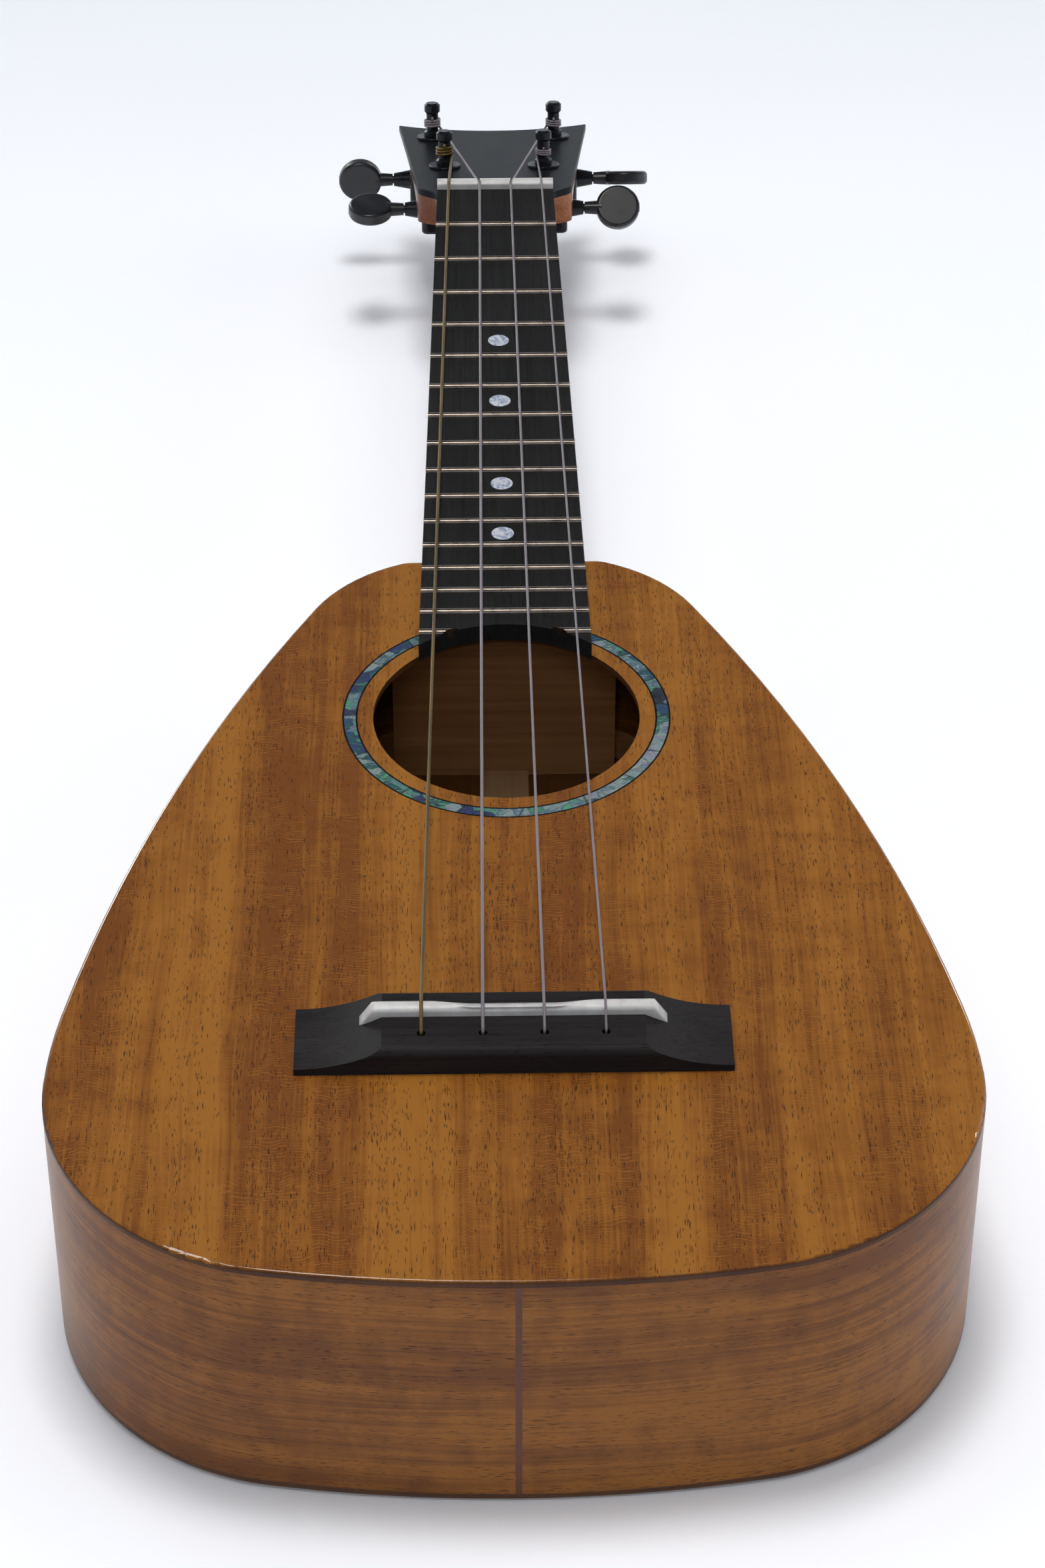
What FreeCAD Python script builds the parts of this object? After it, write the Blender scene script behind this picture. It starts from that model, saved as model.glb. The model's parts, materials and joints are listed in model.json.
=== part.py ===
import FreeCAD
import Part
import math
import os

os.makedirs("parts", exist_ok=True)
Vec = FreeCAD.Vector

# Concert ukulele, millimetres.
# The model is drawn about the saddle: x runs across, y runs along the neck with y = 0
# at the saddle line, and z = 0 is the top face of the soundboard.
# export() moves every piece so that the origin is the middle of the bounding box's base.

# ---- driving dimensions ----
scale_length = 380.0
fret_count = 16
body_join_fret = 12

# The body outline is a chain of tangent arcs, from the tail round one side to the neck.
# Each arc is (radius, turn in degrees).
tail_arc = (348.0, 9.3)
corner_arc = (60.1, 81.9)
low_flank_arc = (145.0, 9.1)
flank_arc = (569.0, 17.1)
shoulder_arc = (42.8, 40.9)
neck_corner_arc = (8.0, 21.7)
outline_arcs = (
    tail_arc, corner_arc, low_flank_arc, flank_arc, shoulder_arc, neck_corner_arc
)

plate_thickness = 1.8
back_thickness = 2.0
body_edge_radius = 0.9
back_dome_radius = 3600.0
back_dome_centre_y = -38.0
back_lowest_z = -69.1
blank_depth = 80.0
wide = 150.0

hole_y = 121.7
hole_radius = 33.8
rosette_inner_radius = 37.75
rosette_outer_radius = 41.6
purfling_width = 0.45
rosette_depth = 0.8

nut_width = 35.2
join_width = 42.8
nut_length = 3.5
nut_height = 7.2
fretboard_thickness = 5.0
fretboard_end_radius = 32.4
fretboard_start_y = 136.7
fret_height = 1.0
fret_width = 2.0
tang_width = 0.6
tang_depth = 1.6
dot_frets = (5, 7, 10, 12)
dot_radius = 3.0
dot_thickness = 1.5

neck_depth_at_nut = 15.0
neck_depth_at_join = 17.0
heel_extra_depth = 55.0
heel_reach = 26.0
heel_sharpness = 4
heel_floor_z = -59.3
heel_cap_thickness = 1.7
tenon_half_width = 9.0
tenon_depth = 42.0
tenon_length = 10.0

bridge_length = 100.0
bridge_front_y = 7.9
bridge_rear_y = -12.7
bridge_height = 7.0
bridge_tip_height = 1.8
bridge_block_half = 30.0
bridge_scoop_mid_height = 3.0
bridge_rear_rounding = 2.2
bridge_front_rounding = 1.0
saddle_front_y = 2.0
saddle_rear_y = -1.0
saddle_slot_floor = 3.0
saddle_top = 9.5
saddle_half_length = 35.2
saddle_half_top = 32.2
saddle_end_z = 5.2
string_hole_y = -6.6
string_hole_radius = 1.0
plate_half_length = 55.0
plate_front_y = 14.0
plate_rear_y = -18.0
bridge_plate_thickness = 2.0

head_tilt = 15.0
head_face_z = 0.5
veneer_thickness = 2.0
core_thickness = 8.8
head_tip = 92.0
head_tip_dish = 8.0
head_start = -6.0
head_straight_end = 2.0
head_curve_pull = 6.5
head_shoulder_pull = 5.0
headplate_rounding = 0.5
head_shoulder = 13.0
head_shoulder_half = 23.8
head_tip_half = 30.5
head_back_tip_half = 26.1
head_back_neck_half = 13.0

# String names, across from the bass side, with diameter and tuner.
string_names = ("g", "c", "e", "a")
string_diameter = {"g": 0.9, "c": 0.8, "e": 0.7, "a": 0.6}
saddle_spacing = 14.0
nut_spacing = 9.4
nut_groove_z = 6.5

# Each tuner's post stands at (x, distance along the head); side is -1 left, +1 right.
tuner_seat = {"g": (-15.5, 36.7), "c": (-19.5, 74.0), "e": (19.5, 74.0), "a": (15.5, 36.7)}
# The angle at which each button happens to stand, turned about its shaft from flat.
button_turn = {"g": 18.0, "c": 102.0, "e": -14.0, "a": 60.0}

post_radius = 2.0
post_waist_radius = 1.9
post_collar_radius = 2.7
post_journal_radius = 1.6
post_foot_gap = 0.1
post_waist_low = 2.9
post_waist_high = 8.2
post_cap_radius = 2.5
post_top = 11.6
string_bore_radius = 0.6
running_clearance = 0.05
bushing_radius = 3.5
bushing_flange_radius = 5.0
bushing_flange_height = 0.9
base_plate_thickness = 0.8
housing_wall = 0.8
housing_half_width = 7.4
housing_near = -6.9
housing_far = 11.6
housing_depth = 9.2
housing_corner = 2.0
housing_rounding = 1.0
nose_end = 12.8
nose_base_radius = 3.2
nose_tip_radius = 2.1
gear_depth = -15.3
gear_centres = 7.0
gear_teeth = 14
gear_module = 0.65
wheel_thickness = 3.4
wheel_tip_radius = 5.2
wheel_root_radius = 3.7
worm_root_radius = 1.5
worm_tip_radius = 3.05
worm_length = 8.0
shaft_radius = 1.25
stub_radius = 1.0
stub_length = 3.6
button_centre = 23.7
button_radius = 6.9
button_thickness = 4.3
button_rounding = 1.1
collar_gap = 3.6
collar_inner_radius = 1.9
collar_outer_radius = 2.3
collar_length = 5.4
shaft_end_depth = 3.0
button_screw_radius = 0.7
button_screw_head_radius = 1.5
button_screw_head_height = 0.9
screw_hole_radius = 0.95
screw_seat = -9.9
screw_tip = -5.0
screw_head_radius = 1.8
screw_head_height = 1.1
ear_radius = 2.8

nut_rear_y = scale_length + nut_length
head_thickness = veneer_thickness + core_thickness
join_y = scale_length / 2.0 ** (body_join_fret / 12.0)
node_shapes = {}


# ---- small helpers ----
def fret_y(number):
    return scale_length / 2.0 ** (number / 12.0)


def box(x0, x1, y0, y1, z0, z1):
    return Part.makeBox(x1 - x0, y1 - y0, z1 - z0, Vec(x0, y0, z0))


def cylinder(radius, z0, z1, x=0.0, y=0.0):
    return Part.makeCylinder(radius, z1 - z0, Vec(x, y, z0))


def tube(outer, inner, z0, z1, x=0.0, y=0.0):
    return cylinder(outer, z0, z1, x, y).cut(cylinder(inner, z0, z1, x, y))


def polygon_prism(points, direction):
    wire = Part.makePolygon(points + [points[0]])
    return Part.Face(wire).extrude(direction)


def turned(profile):
    """Revolve (radius, height) pairs about z."""
    corners = [Vec(radius, 0.0, height) for radius, height in profile]
    return Part.Face(Part.makePolygon(corners + [corners[0]])).revolve(Vec(), Vec(0, 0, 1), 360)


def x_cylinder(radius, start, length):
    """A cylinder about the x axis, from start."""
    return Part.makeCylinder(radius, length, Vec(start, 0, 0), Vec(1, 0, 0))


def joined(shapes):
    result = shapes[0]
    for shape in shapes[1:]:
        result = result.fuse(shape)
    return result.removeSplitter()


def group(shapes):
    solids = []
    for shape in shapes:
        solids.extend(shape.Solids)
    return Part.makeCompound(solids)


def fretboard_half(y):
    taper = (join_width - nut_width) / (scale_length - join_y)
    return (nut_width + taper * (scale_length - y)) / 2.0


# ---- the body outline ----
def chain_height():
    heading = 0.0
    height = 0.0
    for radius, turn in outline_arcs:
        after = heading + math.radians(turn)
        height += radius * (math.cos(heading) - math.cos(after))
        heading = after
    return height


tail_y = join_y - chain_height()


def outline(inset):
    """The closed body outline, moved inwards by inset, in the plane z = 0."""
    point = Vec(0, tail_y + inset, 0)
    heading = 0.0
    right = []
    left = []
    for radius, turn in outline_arcs:
        r = radius - inset
        centre = point + Vec(-math.sin(heading), math.cos(heading), 0) * r
        marks = []
        for share in (0.0, 0.5, 1.0):
            angle = heading + math.radians(turn) * share
            marks.append(centre + Vec(math.sin(angle), -math.cos(angle), 0) * r)
        mirrored = [Vec(-mark.x, mark.y, 0) for mark in marks]
        right.append(Part.Arc(*marks).toShape())
        left.append(Part.Arc(*mirrored).toShape())
        point = marks[2]
        heading += math.radians(turn)
    top = Part.LineSegment(point, Vec(-point.x, point.y, 0)).toShape()
    return Part.Wire(Part.__sortEdges__(right + [top] + left))


def body_prism(inset, z0, z1):
    face = Part.Face(outline(inset))
    face.translate(Vec(0, 0, z0))
    return face.extrude(Vec(0, 0, z1 - z0))


def dome(offset):
    """The inside of the back's sphere, offset inwards from its outer face."""
    centre = Vec(0, back_dome_centre_y, back_lowest_z + back_dome_radius)
    ball = Part.makeSphere(back_dome_radius - offset, centre)
    ball.rotate(centre, Vec(1, 1, 0), 70)
    return ball


inner_dome = dome(back_thickness)
cavity_prism = body_prism(plate_thickness, -blank_depth, -plate_thickness)


def string_holes(z0, z1):
    count = len(string_names)
    holes = []
    for index in range(count):
        x = saddle_spacing * (index - (count - 1) / 2.0)
        holes.append(cylinder(string_hole_radius, z0, z1, x, string_hole_y))
    return Part.makeCompound(holes)


# ---- the sound box ----
def make_soundboard():
    board = body_prism(0.0, -plate_thickness, 0.0)
    rim = []
    for edge in board.Edges:
        if edge.BoundBox.ZMin > -0.01 and edge.BoundBox.YMax < join_y - 0.01:
            rim.append(edge)
    board = board.makeFillet(body_edge_radius, rim)
    board = board.cut(cylinder(hole_radius, -plate_thickness, 0.0, 0.0, hole_y))
    channel = tube(rosette_outer_radius, rosette_inner_radius, -rosette_depth, 1.0, 0.0, hole_y)
    board = board.cut(channel)
    board = board.cut(string_holes(-plate_thickness, 0.0))
    node_shapes["soundboard"] = board


def make_rosette():
    inner = rosette_inner_radius
    outer = rosette_outer_radius
    ring = tube(outer - purfling_width, inner + purfling_width, -rosette_depth, 0.0, 0.0, hole_y)
    near = tube(inner + purfling_width, inner, -rosette_depth, 0.0, 0.0, hole_y)
    far = tube(outer, outer - purfling_width, -rosette_depth, 0.0, 0.0, hole_y)
    node_shapes["rosette_ring"] = ring
    node_shapes["rosette_purfling"] = group([near, far])


graft_half = 0.75


def make_sides():
    ring = body_prism(0.0, -blank_depth, -plate_thickness).cut(cavity_prism).common(inner_dome)
    ring = ring.cut(tenon_block())
    middle = join_y / 2.0
    left_region = box(-wide, 0.0, middle, join_y + 1.0, -blank_depth, 0.0)
    left_region = left_region.fuse(box(-wide, -graft_half, -wide, middle, -blank_depth, 0.0))
    right_region = left_region.mirror(Vec(), Vec(1, 0, 0))
    graft_region = box(-graft_half, graft_half, -wide, middle, -blank_depth, 0.0)
    node_shapes["side_left"] = ring.common(left_region)
    node_shapes["side_right"] = ring.common(right_region)
    node_shapes["end_graft"] = ring.common(graft_region)


def make_back():
    blank = body_prism(0.0, -blank_depth, -blank_depth / 2.0)
    plate = blank.common(dome(0.0)).cut(inner_dome)
    centre = Vec(0, back_dome_centre_y, back_lowest_z + back_dome_radius)
    rim = []
    for edge in plate.Edges:
        outer = (edge.Vertexes[0].Point - centre).Length > back_dome_radius - 0.01
        if outer and edge.CenterOfMass.y < join_y - 0.5:
            rim.append(edge)
    node_shapes["back_plate"] = plate.makeFillet(body_edge_radius, rim)


def tenon_block():
    y0 = join_y - plate_thickness - tenon_length
    return box(-tenon_half_width, tenon_half_width, y0, join_y, -tenon_depth, -plate_thickness)


block_half_width = 30.0
neck_block_length = 13.2
tail_block_length = 12.0


def block_regions():
    neck_y = join_y - plate_thickness - neck_block_length
    tail_end = tail_y + plate_thickness + tail_block_length
    neck = box(-block_half_width, block_half_width, neck_y, join_y, -blank_depth, 0.0)
    tail = box(-block_half_width, block_half_width, tail_y, tail_end, -blank_depth, 0.0)
    return neck, tail


def make_blocks():
    neck, tail = block_regions()
    inside = cavity_prism.common(inner_dome)
    node_shapes["neck_block"] = inside.common(neck).cut(tenon_block())
    node_shapes["tail_block"] = inside.common(tail)


lining_width = 4.0
lining_height = 6.0
strip_thickness = 1.5
strip_half_width = 6.5


def make_linings():
    neck, tail = block_regions()
    core = body_prism(plate_thickness + lining_width, -blank_depth, -plate_thickness)
    ring = cavity_prism.cut(core).cut(neck).cut(tail)
    top = ring.common(box(-wide, wide, -wide, join_y, -plate_thickness - lining_height, 0.0))
    back = ring.common(inner_dome).cut(dome(back_thickness + lining_height))
    node_shapes["linings_top"] = group([top])
    node_shapes["linings_back"] = group([back])
    return core


back_brace_places = (-35.0, 40.0, 112.0)
back_brace_width = 6.0
back_brace_height = 9.0


def make_back_bracing(core):
    neck, tail = block_regions()
    room = core.cut(neck).cut(tail)
    braces = []
    for y in back_brace_places:
        bar = box(-wide, wide, y, y + back_brace_width, -blank_depth, -blank_depth / 2.0)
        bar = room.common(bar).common(inner_dome)
        braces.append(bar.cut(dome(back_thickness + back_brace_height)))
    half = strip_half_width
    strip = box(-half, half, -wide, join_y, -blank_depth, -blank_depth / 2.0)
    strip = room.common(strip).common(inner_dome).cut(dome(back_thickness + strip_thickness))
    for brace in braces:
        strip = strip.cut(brace)
    node_shapes["back_braces"] = group(braces)
    node_shapes["back_centre_strip"] = group([strip])


# Each brace across the soundboard is (rear y, front y, height).
upper_brace = (165.0, 171.0, 5.0)
lower_brace = (76.0, 83.0, 10.0)
# Each fan brace is (x of its front end, degrees that it splays).
fan_braces = ((0.0, 0.0), (22.0, 11.0), (-22.0, -11.0))
fan_half_width = 2.5
fan_length = 136.0
fan_height = 6.0
fan_gap = 0.1


def make_top_bracing(core):
    neck, tail = block_regions()
    room = core.cut(neck).cut(tail)
    top = -plate_thickness
    across = []
    for rear, front, height in (upper_brace, lower_brace):
        across.append(room.common(box(-wide, wide, rear, front, top - height, top)))
    node_shapes["transverse_braces"] = group(across)
    plate = box(
        -plate_half_length, plate_half_length, plate_rear_y, plate_front_y,
        top - bridge_plate_thickness, top
    )
    fans = []
    for x, turn in fan_braces:
        bar = box(-fan_half_width, fan_half_width, -fan_length, 0.0, top - fan_height, top)
        bar.rotate(Vec(), Vec(0, 0, 1), turn)
        bar.translate(Vec(x, lower_brace[0] - fan_gap, 0))
        fans.append(room.common(bar).cut(plate).cut(across[1]))
    node_shapes["fan_braces"] = group(fans)
    node_shapes["bridge_plate"] = plate.cut(string_holes(top - bridge_plate_thickness, top))


# ---- bridge and saddle ----
def make_bridge():
    half = bridge_length / 2.0
    scoop_mid_x = (half + bridge_block_half) / 2.0
    scoop_mid_z = bridge_scoop_mid_height
    corners = {
        "tip_left": Vec(-half, bridge_rear_y, bridge_tip_height),
        "block_left": Vec(-bridge_block_half, bridge_rear_y, bridge_height),
        "block_right": Vec(bridge_block_half, bridge_rear_y, bridge_height),
        "tip_right": Vec(half, bridge_rear_y, bridge_tip_height),
    }
    foot_left = Vec(-half, bridge_rear_y, 0)
    foot_right = Vec(half, bridge_rear_y, 0)
    sag_left = Vec(-scoop_mid_x, bridge_rear_y, scoop_mid_z)
    sag_right = Vec(scoop_mid_x, bridge_rear_y, scoop_mid_z)
    edges = [
        Part.LineSegment(foot_right, foot_left).toShape(),
        Part.LineSegment(foot_left, corners["tip_left"]).toShape(),
        Part.Arc(corners["tip_left"], sag_left, corners["block_left"]).toShape(),
        Part.LineSegment(corners["block_left"], corners["block_right"]).toShape(),
        Part.Arc(corners["block_right"], sag_right, corners["tip_right"]).toShape(),
        Part.LineSegment(corners["tip_right"], foot_right).toShape(),
    ]
    blank = Part.Face(Part.Wire(edges)).extrude(Vec(0, bridge_front_y - bridge_rear_y, 0))
    rear_crest = [edge for edge in blank.Edges if is_bridge_crest(edge, bridge_rear_y)]
    blank = blank.makeFillet(bridge_rear_rounding, rear_crest)
    front_crest = [edge for edge in blank.Edges if is_bridge_crest(edge, bridge_front_y)]
    blank = blank.makeFillet(bridge_front_rounding, front_crest)
    slot = box(
        -saddle_half_length, saddle_half_length, saddle_rear_y, saddle_front_y,
        saddle_slot_floor, bridge_height + 1.0
    )
    node_shapes["bridge"] = blank.cut(slot).cut(string_holes(0.0, bridge_height))


def is_bridge_crest(edge, y):
    bounds = edge.BoundBox
    along_face = abs(bounds.YMin - y) < 0.01 and abs(bounds.YMax - y) < 0.01
    return along_face and bounds.ZMin > bridge_height - 0.01


def make_saddle():
    crown = (saddle_front_y - saddle_rear_y) / 2.0
    middle_y = (saddle_front_y + saddle_rear_y) / 2.0
    blank = box(
        -saddle_half_length, saddle_half_length, saddle_rear_y, saddle_front_y,
        saddle_slot_floor, saddle_top - crown
    )
    rod = Part.makeCylinder(
        crown, 2 * saddle_half_length, Vec(-saddle_half_length, middle_y, saddle_top - crown),
        Vec(1, 0, 0)
    )
    blank = joined([blank, rod])
    start = saddle_rear_y - 1.0
    above = saddle_top + 0.1
    for side in (-1, 1):
        corners = [
            Vec(side * saddle_half_length, start, saddle_end_z),
            Vec(side * saddle_half_top, start, above),
            Vec(side * (saddle_half_length + 1), start, above),
            Vec(side * (saddle_half_length + 1), start, saddle_end_z),
        ]
        blank = blank.cut(polygon_prism(corners, Vec(0, 5, 0)))
    node_shapes["saddle"] = blank


# ---- headstock ----
head_place = FreeCAD.Placement(
    Vec(0, nut_rear_y, head_face_z), FreeCAD.Rotation(Vec(1, 0, 0), -head_tilt)
)


def on_head(shape):
    """Move a shape from head coordinates (x, along the head, above its face) into place."""
    placed = shape.copy()
    placed.Placement = head_place.multiply(placed.Placement)
    return placed


def head_point(x, along, above):
    return head_place.multVec(Vec(x, along, above))


def head_outline(neck_half, tip_half, above):
    right = [
        Vec(neck_half, head_start, above),
        Vec(neck_half, head_straight_end, above),
        Vec(head_shoulder_half, head_shoulder, above),
        Vec(tip_half, head_tip, above),
    ]
    left = [Vec(-point.x, point.y, above) for point in right]
    slope = (tip_half - head_shoulder_half) / (head_tip - head_shoulder)
    edges = []
    for side, points in ((1, right), (-1, left)):
        shoulder = Part.BezierCurve()
        first_pull = Vec(side * neck_half, head_curve_pull, above)
        last_x = head_shoulder_half - slope * head_shoulder_pull
        last_pull = Vec(side * last_x, head_shoulder - head_shoulder_pull, above)
        shoulder.setPoles([points[1], first_pull, last_pull, points[2]])
        edges.append(Part.LineSegment(points[0], points[1]).toShape())
        edges.append(shoulder.toShape())
        edges.append(Part.LineSegment(points[2], points[3]).toShape())
    dish = Part.Arc(right[3], Vec(0, head_tip - head_tip_dish, above), left[3])
    edges.append(dish.toShape())
    edges.append(Part.LineSegment(left[0], right[0]).toShape())
    return Part.Wire(Part.__sortEdges__(edges))


def tuner_holes(radius, above, below):
    return group([cylinder(radius, below, above, x, along) for x, along in tuner_seat.values()])


def screw_points():
    return [(x, along + screw_seat) for x, along in tuner_seat.values()]


def make_headplate():
    face = Part.Face(head_outline(nut_width / 2.0, head_tip_half, -veneer_thickness))
    plate = face.extrude(Vec(0, 0, veneer_thickness))
    plate = on_head(plate.cut(tuner_holes(bushing_radius, 0.0, -veneer_thickness)))
    plate = plate.cut(box(-wide, wide, 0, nut_rear_y, -wide, wide))
    rim = []
    for edge in plate.Edges:
        past_nut = edge.BoundBox.YMax > nut_rear_y + 1.0 and edge.Length > 10.0
        ends = [head_place.inverse().multVec(vertex.Point) for vertex in edge.Vertexes]
        on_face = all(abs(end.z) < 0.01 for end in ends)
        if past_nut and on_face and len(ends) == 2:
            rim.append(edge)
    node_shapes["headplate"] = plate.makeFillet(headplate_rounding, rim)


# ---- neck ----
def half_round_solid(sections):
    """A smooth solid below z = 0 through half ellipses, each given as (y, half width, depth)."""
    grid = []
    for y, half, depth in sections:
        row = []
        for step in range(section_steps + 1):
            angle = math.pi * step / section_steps
            row.append(Vec(-half * math.cos(angle), y, -depth * math.sin(angle)))
        grid.append(row)
    surface = Part.BSplineSurface()
    surface.interpolate(grid)
    skin = surface.toShape()
    sides = [edge for edge in skin.Edges if edge.BoundBox.ZLength < 0.001]
    ends = [edge for edge in skin.Edges if edge.BoundBox.YLength < 0.001]
    lids = []
    for end in ends:
        first, last = [vertex.Point for vertex in end.Vertexes]
        lids.append(Part.LineSegment(first, last).toShape())
    faces = [skin, Part.Face(Part.Wire(Part.__sortEdges__(sides + lids)))]
    for end, lid in zip(ends, lids):
        faces.append(Part.Face(Part.Wire(Part.__sortEdges__([end, lid]))))
    solid = Part.makeSolid(Part.makeShell(faces))
    if solid.Volume < 0:
        solid.reverse()
    return solid


def neck_depth(y):
    share = (scale_length - y) / (scale_length - join_y)
    shaft = neck_depth_at_nut + (neck_depth_at_join - neck_depth_at_nut) * share
    heel = heel_extra_depth * math.exp(-((y - join_y) / heel_reach) ** heel_sharpness)
    return shaft + heel


section_steps = 16
neck_station_count = 36
shaft_end_y = 403.0
core_start_gap = 0.7


def make_neck():
    step = (shaft_end_y - join_y) / neck_station_count
    stations = [join_y + step * number for number in range(neck_station_count + 1)]
    sections = [(y, fretboard_half(y), neck_depth(y)) for y in stations]
    shaft_blank = half_round_solid(sections)
    floor = box(-wide, wide, join_y - 5, 500, -wide, heel_floor_z)
    shaft = shaft_blank.cut(floor)
    top_wire = head_outline(nut_width / 2.0, head_tip_half, -veneer_thickness)
    back_wire = head_outline(head_back_neck_half, head_back_tip_half, -head_thickness)
    core = on_head(Part.makeLoft([top_wire, back_wire], True, True))
    core = core.cut(box(-wide, wide, 0, nut_rear_y + core_start_gap, -wide, wide))
    sky = on_head(box(-wide, wide, -20, 60, -veneer_thickness, 60))
    sky = sky.cut(box(-wide, wide, 0, nut_rear_y, -wide, wide))
    head = joined([shaft, core, tenon_block()]).cut(sky)
    holes = on_head(tuner_holes(bushing_radius, 1.0, -head_thickness - 1.0))
    screws = on_head(group([
        cylinder(screw_hole_radius, -20.0, screw_tip, x, along) for x, along in screw_points()
    ]))
    node_shapes["neck"] = head.cut(holes).cut(screws)
    cap_floor = heel_floor_z - heel_cap_thickness
    cap = shaft_blank.common(box(-wide, wide, join_y, 260, cap_floor, heel_floor_z))
    node_shapes["heel_cap"] = cap


# ---- fretboard, frets, nut ----
def make_fretboard():
    y0 = fretboard_start_y
    corners = [
        Vec(-fretboard_half(y0), y0, 0),
        Vec(fretboard_half(y0), y0, 0),
        Vec(fretboard_half(scale_length), scale_length, 0),
        Vec(-fretboard_half(scale_length), scale_length, 0),
    ]
    board = polygon_prism(corners, Vec(0, 0, fretboard_thickness))
    end_cut = cylinder(fretboard_end_radius, -1.0, fretboard_thickness + 1.0, 0.0, hole_y)
    board = board.cut(end_cut)
    wire_stock = []
    top = fretboard_thickness
    for number in range(1, fret_count + 1):
        y = fret_y(number)
        half = fretboard_half(y)
        slot = box(-half, half, y - tang_width / 2, y + tang_width / 2, top - tang_depth, top)
        crown = fret_crown(y, half)
        wire_stock.append(slot.fuse(crown).cut(end_cut).removeSplitter())
        slot_wide = box(-wide, wide, y - tang_width / 2, y + tang_width / 2, top - tang_depth, top)
        board = board.cut(slot_wide)
    dots = []
    for number in dot_frets:
        y = (fret_y(number) + fret_y(number - 1)) / 2.0
        dots.append(cylinder(dot_radius, top - dot_thickness, top, 0.0, y))
    dots = group(dots)
    node_shapes["fretboard"] = board.cut(dots)
    node_shapes["frets"] = group(wire_stock)
    node_shapes["position_dots"] = dots


def fret_crown(y, half):
    left = Vec(-half, y - fret_width / 2, fretboard_thickness)
    right = Vec(-half, y + fret_width / 2, fretboard_thickness)
    peak = Vec(-half, y, fretboard_thickness + fret_height)
    arc = Part.Arc(left, peak, right).toShape()
    base = Part.LineSegment(right, left).toShape()
    return Part.Face(Part.Wire([arc, base])).extrude(Vec(2 * half, 0, 0))


def string_line(name):
    """The string's corner points, from the knot inside the body to the tuner post."""
    index = string_names.index(name)
    place = index - (len(string_names) - 1) / 2.0
    radius = string_diameter[name] / 2.0
    x_saddle = saddle_spacing * place
    x_nut = nut_spacing * place
    seat_x, seat_along = tuner_seat[name]
    side = 1 if seat_x > 0 else -1
    offset = post_waist_radius + 3.0 * radius + winding_gap
    knot_z = -plate_thickness - bridge_plate_thickness - knot_radius
    return [
        Vec(x_saddle, string_hole_y, knot_z),
        Vec(x_saddle, string_hole_y, bridge_height + string_lift),
        Vec(x_saddle, (saddle_front_y + saddle_rear_y) / 2.0, saddle_top + radius),
        Vec(x_nut, scale_length, nut_groove_z + radius),
        head_point(seat_x - side * offset, seat_along, winding_base + 2.0 * string_diameter[name]),
    ]


winding_base = 3.4
winding_turns = 3.2
winding_gap = 0.3
string_lift = 0.25
knot_radius = 1.2
mitred_corners = 1
nut_rounding = 0.8
groove_slack = 0.1


def make_strings():
    for name in string_names:
        radius = string_diameter[name] / 2.0
        points = string_line(name)
        runs = [Part.LineSegment(a, b).toShape() for a, b in zip(points[:-1], points[1:])]
        section = Part.Wire(Part.makeCircle(radius, points[0], points[1] - points[0]))
        line = Part.Wire(runs).makePipeShell([section], True, False, mitred_corners)
        knot = Part.makeSphere(knot_radius, points[0])
        node_shapes["string_" + name] = joined([line, knot])


def make_nut():
    half = nut_width / 2.0
    blank = box(-half, half, scale_length, nut_rear_y, 0.0, nut_height)
    crest = [edge for edge in blank.Edges if is_nut_crest(edge)]
    blank = blank.makeFillet(nut_rounding, crest)
    for name in string_names:
        points = string_line(name)
        run = points[4] - points[3]
        width = string_diameter[name] + groove_slack
        groove = Part.makeBox(width, 8.0, 5.0, Vec(-width / 2.0, -0.5, -width / 2.0))
        groove.Placement = FreeCAD.Placement(points[3], FreeCAD.Rotation(Vec(0, 1, 0), run))
        blank = blank.cut(groove)
    node_shapes["nut"] = blank


def is_nut_crest(edge):
    bounds = edge.BoundBox
    return bounds.ZMin > nut_height - 0.01 and bounds.XLength > 1.0


# ---- tuners: every piece is drawn for a right-hand tuner with its post at the origin ----
tooth_root_half = 0.62
tooth_tip_half = 0.24
tooth_sink = 0.3
thread_root_half = 0.52
thread_tip_half = 0.22
thread_sink = 0.2
worm_phase = 270.0


def wheel_shape():
    low = gear_depth - wheel_thickness / 2.0
    wheel = cylinder(wheel_root_radius, low, low + wheel_thickness)
    for tooth in range(gear_teeth):
        corners = [
            Vec(-tooth_root_half, wheel_root_radius - tooth_sink, low),
            Vec(-tooth_tip_half, wheel_tip_radius, low),
            Vec(tooth_tip_half, wheel_tip_radius, low),
            Vec(tooth_root_half, wheel_root_radius - tooth_sink, low),
        ]
        blade = polygon_prism(corners, Vec(0, 0, wheel_thickness))
        blade.rotate(Vec(), Vec(0, 0, 1), 360.0 * tooth / gear_teeth)
        wheel = wheel.fuse(blade)
    bore = cylinder(post_journal_radius, low, low + wheel_thickness)
    return wheel.removeSplitter().cut(bore)


def worm_thread():
    """A right-hand thread about z, with a thread gap at the middle of its length."""
    lead = math.pi * gear_module
    turns = int(worm_length / lead)
    height = turns * lead
    core = worm_root_radius - thread_sink
    corners = [
        Vec(core, 0, -thread_root_half),
        Vec(worm_tip_radius, 0, -thread_tip_half),
        Vec(worm_tip_radius, 0, thread_tip_half),
        Vec(core, 0, thread_root_half),
    ]
    profile = Part.makePolygon(corners + [corners[0]])
    helix = Part.makeHelix(lead, height, core)
    thread = Part.Wire(helix).makePipeShell([profile], True, True)
    thread.translate(Vec(0, 0, -height / 2.0))
    return thread, height


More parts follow.
